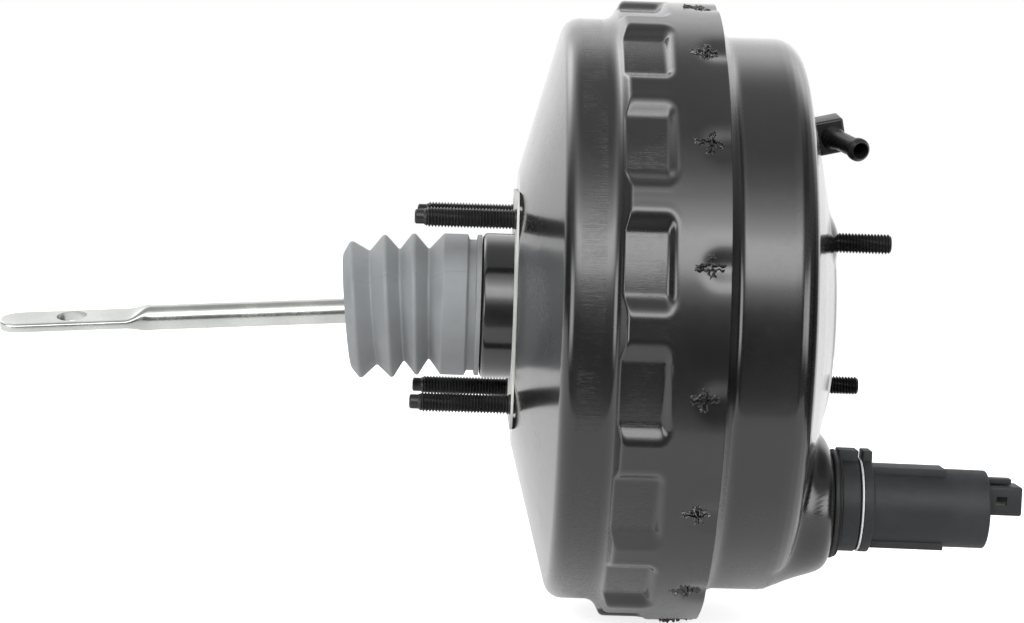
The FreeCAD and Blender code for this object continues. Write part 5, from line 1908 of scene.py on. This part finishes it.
@dataclass
class Studio:
    """Camera at the photograph's angle, pale floor, and soft light.

    The camera looks at the axis from a little above and to one side, and leans by its roll. The sky
    is a list of heights in degrees with the brightness there, as seen from the front. Its ranges
    are pairs of direction coordinates between which a share goes from 0 to 1, or from 1 to the
    third number where there is one.
    """

    focal_px: float = 2753.0
    width_px: float = 1024.0
    scale: float = 2.492
    elevation: float = 3.755
    yaw: float = 1.2
    roll: float = 1.903
    aim: tuple[float, float, float] = (-0.8, 0.0, -2.146)
    sensor_mm: float = 36.0
    floor_gap: float = 0.4
    floor_front: float = -0.225
    floor_sides: tuple[float, float] = (-2.5, 0.32)
    floor_back: float = 3.0
    floor_colour: tuple[float, float, float, float] = (0.76, 0.76, 0.76, 1.0)
    floor_glow: tuple[float, float] = (0.2, 0.6)
    left_dim: tuple[float, float, float] = (-0.50, -0.90, 0.08)
    right_dim: tuple[float, float, float] = (0.38, 0.72, 0.06)
    strip_level: float = 3.6
    strip_inner: tuple[float, float] = (0.70, 0.80)
    strip_outer: tuple[float, float] = (0.97, 0.92)
    strip_back: tuple[float, float] = (0.05, -0.15)
    strip_foot: tuple[float, float] = (-0.28, -0.06)
    strip_head: tuple[float, float] = (0.34, 0.15)
    white_back: tuple[float, float] = (0.38, 0.86)
    white_left: tuple[float, float, float] = (-0.30, -0.50, 0.72)
    sky_top: float = 5.0
    sky: tuple[tuple[float, float], ...] = (
        (-90, 0.9), (-50, 0.9), (-42, 0.7), (-35, 0.45), (-27, 0.22), (-12, 0.14), (-3, 0.18),
        (4, 0.28), (12, 1.05), (20, 4.0), (30, 4.6), (38, 2.5), (48, 1.3), (58, 0.68),
        (72, 0.42), (90, 0.44))

    def camera(self) -> None:
        """Makes the camera from its focal length in pixels and its distance."""
        data = bpy.data.cameras.new("camera")
        data.sensor_width = self.sensor_mm
        data.lens = self.focal_px * self.sensor_mm / self.width_px
        data.clip_start, data.clip_end = 0.05, 20.0
        camera = bpy.data.objects.new("camera", data)
        bpy.context.collection.objects.link(camera)
        e, psi = math.radians(self.elevation), math.radians(self.yaw)
        forward = Vector((math.sin(psi) * math.cos(e), math.cos(psi) * math.cos(e), -math.sin(e)))
        right = forward.cross(Vector((0, 0, 1))).normalized()
        up = right.cross(forward)
        c, s = math.cos(math.radians(self.roll)), math.sin(math.radians(self.roll))
        turned_right, turned_up = c * right + s * up, c * up - s * right
        camera.location = Vector(self.aim) * MM - forward * (self.focal_px / self.scale * MM)
        camera.rotation_mode = "QUATERNION"
        basis = [[turned_right[k], turned_up[k], -forward[k]] for k in range(3)]
        camera.rotation_quaternion = Matrix(basis).to_quaternion()
        bpy.context.scene.camera = camera

    def sky_level(self, tree: bpy.types.NodeTree,
                  height: bpy.types.NodeSocket) -> bpy.types.NodeSocket:
        """Brightness of the sky over the height of a direction.

        Args:
            tree: the world's node tree.
            height: Z of the direction, from -1 to 1.

        Returns:
            The brightness as a socket.
        """
        ramp = tree.nodes.new("ShaderNodeValToRGB")
        ramp.color_ramp.interpolation = "EASE"
        elements = ramp.color_ramp.elements
        for i, (degrees, level) in enumerate(self.sky):
            spot = (math.sin(math.radians(degrees)) + 1) / 2
            element = elements[i] if i < 2 else elements.new(spot)
            element.position = spot
            element.color = (*[level / self.sky_top] * 3, 1)
        tree.links.new(maths(tree, "MULTIPLY_ADD", height, 0.5, 0.5), ramp.inputs["Fac"])
        return maths(tree, "MULTIPLY", ramp.outputs["Color"], self.sky_top)

    def world(self) -> None:
        """Sky brightest above eye level in front, dim overhead and at the sides, white behind.

        A lit strip stands at each side, nearer to the camera than the object. A camera ray sees
        plain white, and so does one that has passed through something clear.
        """
        world = bpy.data.worlds.new("studio")
        bpy.context.scene.world = world
        world.use_nodes = True
        tree = world.node_tree
        tree.nodes.clear()
        output = tree.nodes.new("ShaderNodeOutputWorld")
        split = tree.nodes.new("ShaderNodeSeparateXYZ")
        way = tree.nodes.new("ShaderNodeTexCoord").outputs["Generated"]
        tree.links.new(way, split.inputs[0])
        x, y, z = split.outputs
        front = self.sky_level(tree, z)
        for start, end, least in (self.left_dim, self.right_dim):
            front = maths(tree, "MULTIPLY", front, map_range(tree, x, start, end, 1.0, least))
        across = maths(tree, "ABSOLUTE", x)
        strip = map_range(tree, across, *self.strip_inner)
        for value, limits in ((across, self.strip_outer), (y, self.strip_back),
                              (z, self.strip_foot), (z, self.strip_head)):
            strip = maths(tree, "MULTIPLY", strip, map_range(tree, value, *limits))
        front = maths(tree, "MAXIMUM", front, maths(tree, "MULTIPLY", strip, self.strip_level))
        start, end, least = self.white_left
        whiteness = maths(tree, "MULTIPLY", map_range(tree, y, *self.white_back),
                          map_range(tree, x, start, end, 1.0, least))
        around = self.towards_white(tree, whiteness, front)
        rays = tree.nodes.new("ShaderNodeLightPath").outputs
        seen = maths(tree, "MAXIMUM", rays["Is Camera Ray"], rays["Is Transmission Ray"])
        background = tree.nodes.new("ShaderNodeBackground")
        background.inputs["Color"].default_value = (1, 1, 1, 1)
        strength = self.towards_white(tree, seen, around)
        tree.links.new(strength, background.inputs["Strength"])
        tree.links.new(background.outputs[0], output.inputs["Surface"])

    def towards_white(self, tree: bpy.types.NodeTree, share: bpy.types.NodeSocket,
                      level: bpy.types.NodeSocket) -> bpy.types.NodeSocket:
        """Mixes a brightness with 1.

        Args:
            tree: the world's node tree.
            share: how much of the white is taken, from 0 to 1.
            level: the brightness.

        Returns:
            The mixed brightness.
        """
        mix = tree.nodes.new("ShaderNodeMix")
        mix.data_type = "FLOAT"
        tree.links.new(share, mix.inputs["Factor"])
        tree.links.new(level, mix.inputs["A"])
        mix.inputs["B"].default_value = 1.0
        return mix.outputs[0]

    def floor(self) -> None:
        """Pale floor just under the rim; it keeps the object's shadow and shows white."""
        low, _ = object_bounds()
        z = low.z - self.floor_gap * MM
        left, right = self.floor_sides
        near, far = self.floor_front, self.floor_back
        corners = [(left, near, z), (right, near, z), (right, far, z), (left, far, z)]
        mesh = bpy.data.meshes.new("floor")
        mesh.from_pydata(corners, [], [(0, 1, 2, 3)])
        floor = bpy.data.objects.new("floor", mesh)
        bpy.context.collection.objects.link(floor)
        material = bpy.data.materials.new("floor")
        material.use_nodes = True
        tree = material.node_tree
        shader = tree.nodes["Principled BSDF"]
        shader.inputs["Base Color"].default_value = self.floor_colour
        shader.inputs["Roughness"].default_value = 0.9
        shader.inputs["Specular IOR Level"].default_value = 0.1
        seen = tree.nodes.new("ShaderNodeLightPath").outputs["Is Camera Ray"]
        unseen, added = self.floor_glow
        glow = maths(tree, "MULTIPLY_ADD", seen, added, unseen)
        shader.inputs["Emission Color"].default_value = (1, 1, 1, 1)
        tree.links.new(glow, shader.inputs["Emission Strength"])
        mesh.materials.append(material)
        floor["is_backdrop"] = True

    def build(self) -> None:
        """Builds camera, world and floor, and sets the view transform."""
        self.camera()
        self.world()
        self.floor()
        bpy.context.scene.view_settings.view_transform = "Standard"


def dome_skin_x(shell: FrontShell, radius: float) -> float:
    """X of the front dome's skin at a radius between its two drawn corners.

    Args:
        shell: the shell with the dome.
        radius: distance from the axis, in millimetres.

    Returns:
        X in millimetres.
    """
    share = (shell.dome_mid[1] - radius) / (shell.dome_mid[1] - shell.dome_foot[1])
    return shell.dome_mid[0] + share * (shell.dome_foot[0] - shell.dome_mid[0])


def main() -> None:
    """Builds every class in order."""
    logging.basicConfig(level=logging.INFO, format="%(name)s %(message)s")
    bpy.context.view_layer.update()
    shop = FinishShop()
    CarriedNodes().dress(shop)
    RearShell().build(shop)
    shell = FrontShell()
    shell.build(shop)
    Fasteners().build(shop)
    Boot().build(shop)
    PushRod().build(shop)
    elbow = VacuumElbow()
    elbow.build(shop, dome_skin_x(shell, math.hypot(*elbow.seat)))
    sensor = TravelSensor()
    sensor.build(shop)
    Works().build(shop, sensor)
    Studio().build()


if __name__ == "__main__":
    main()
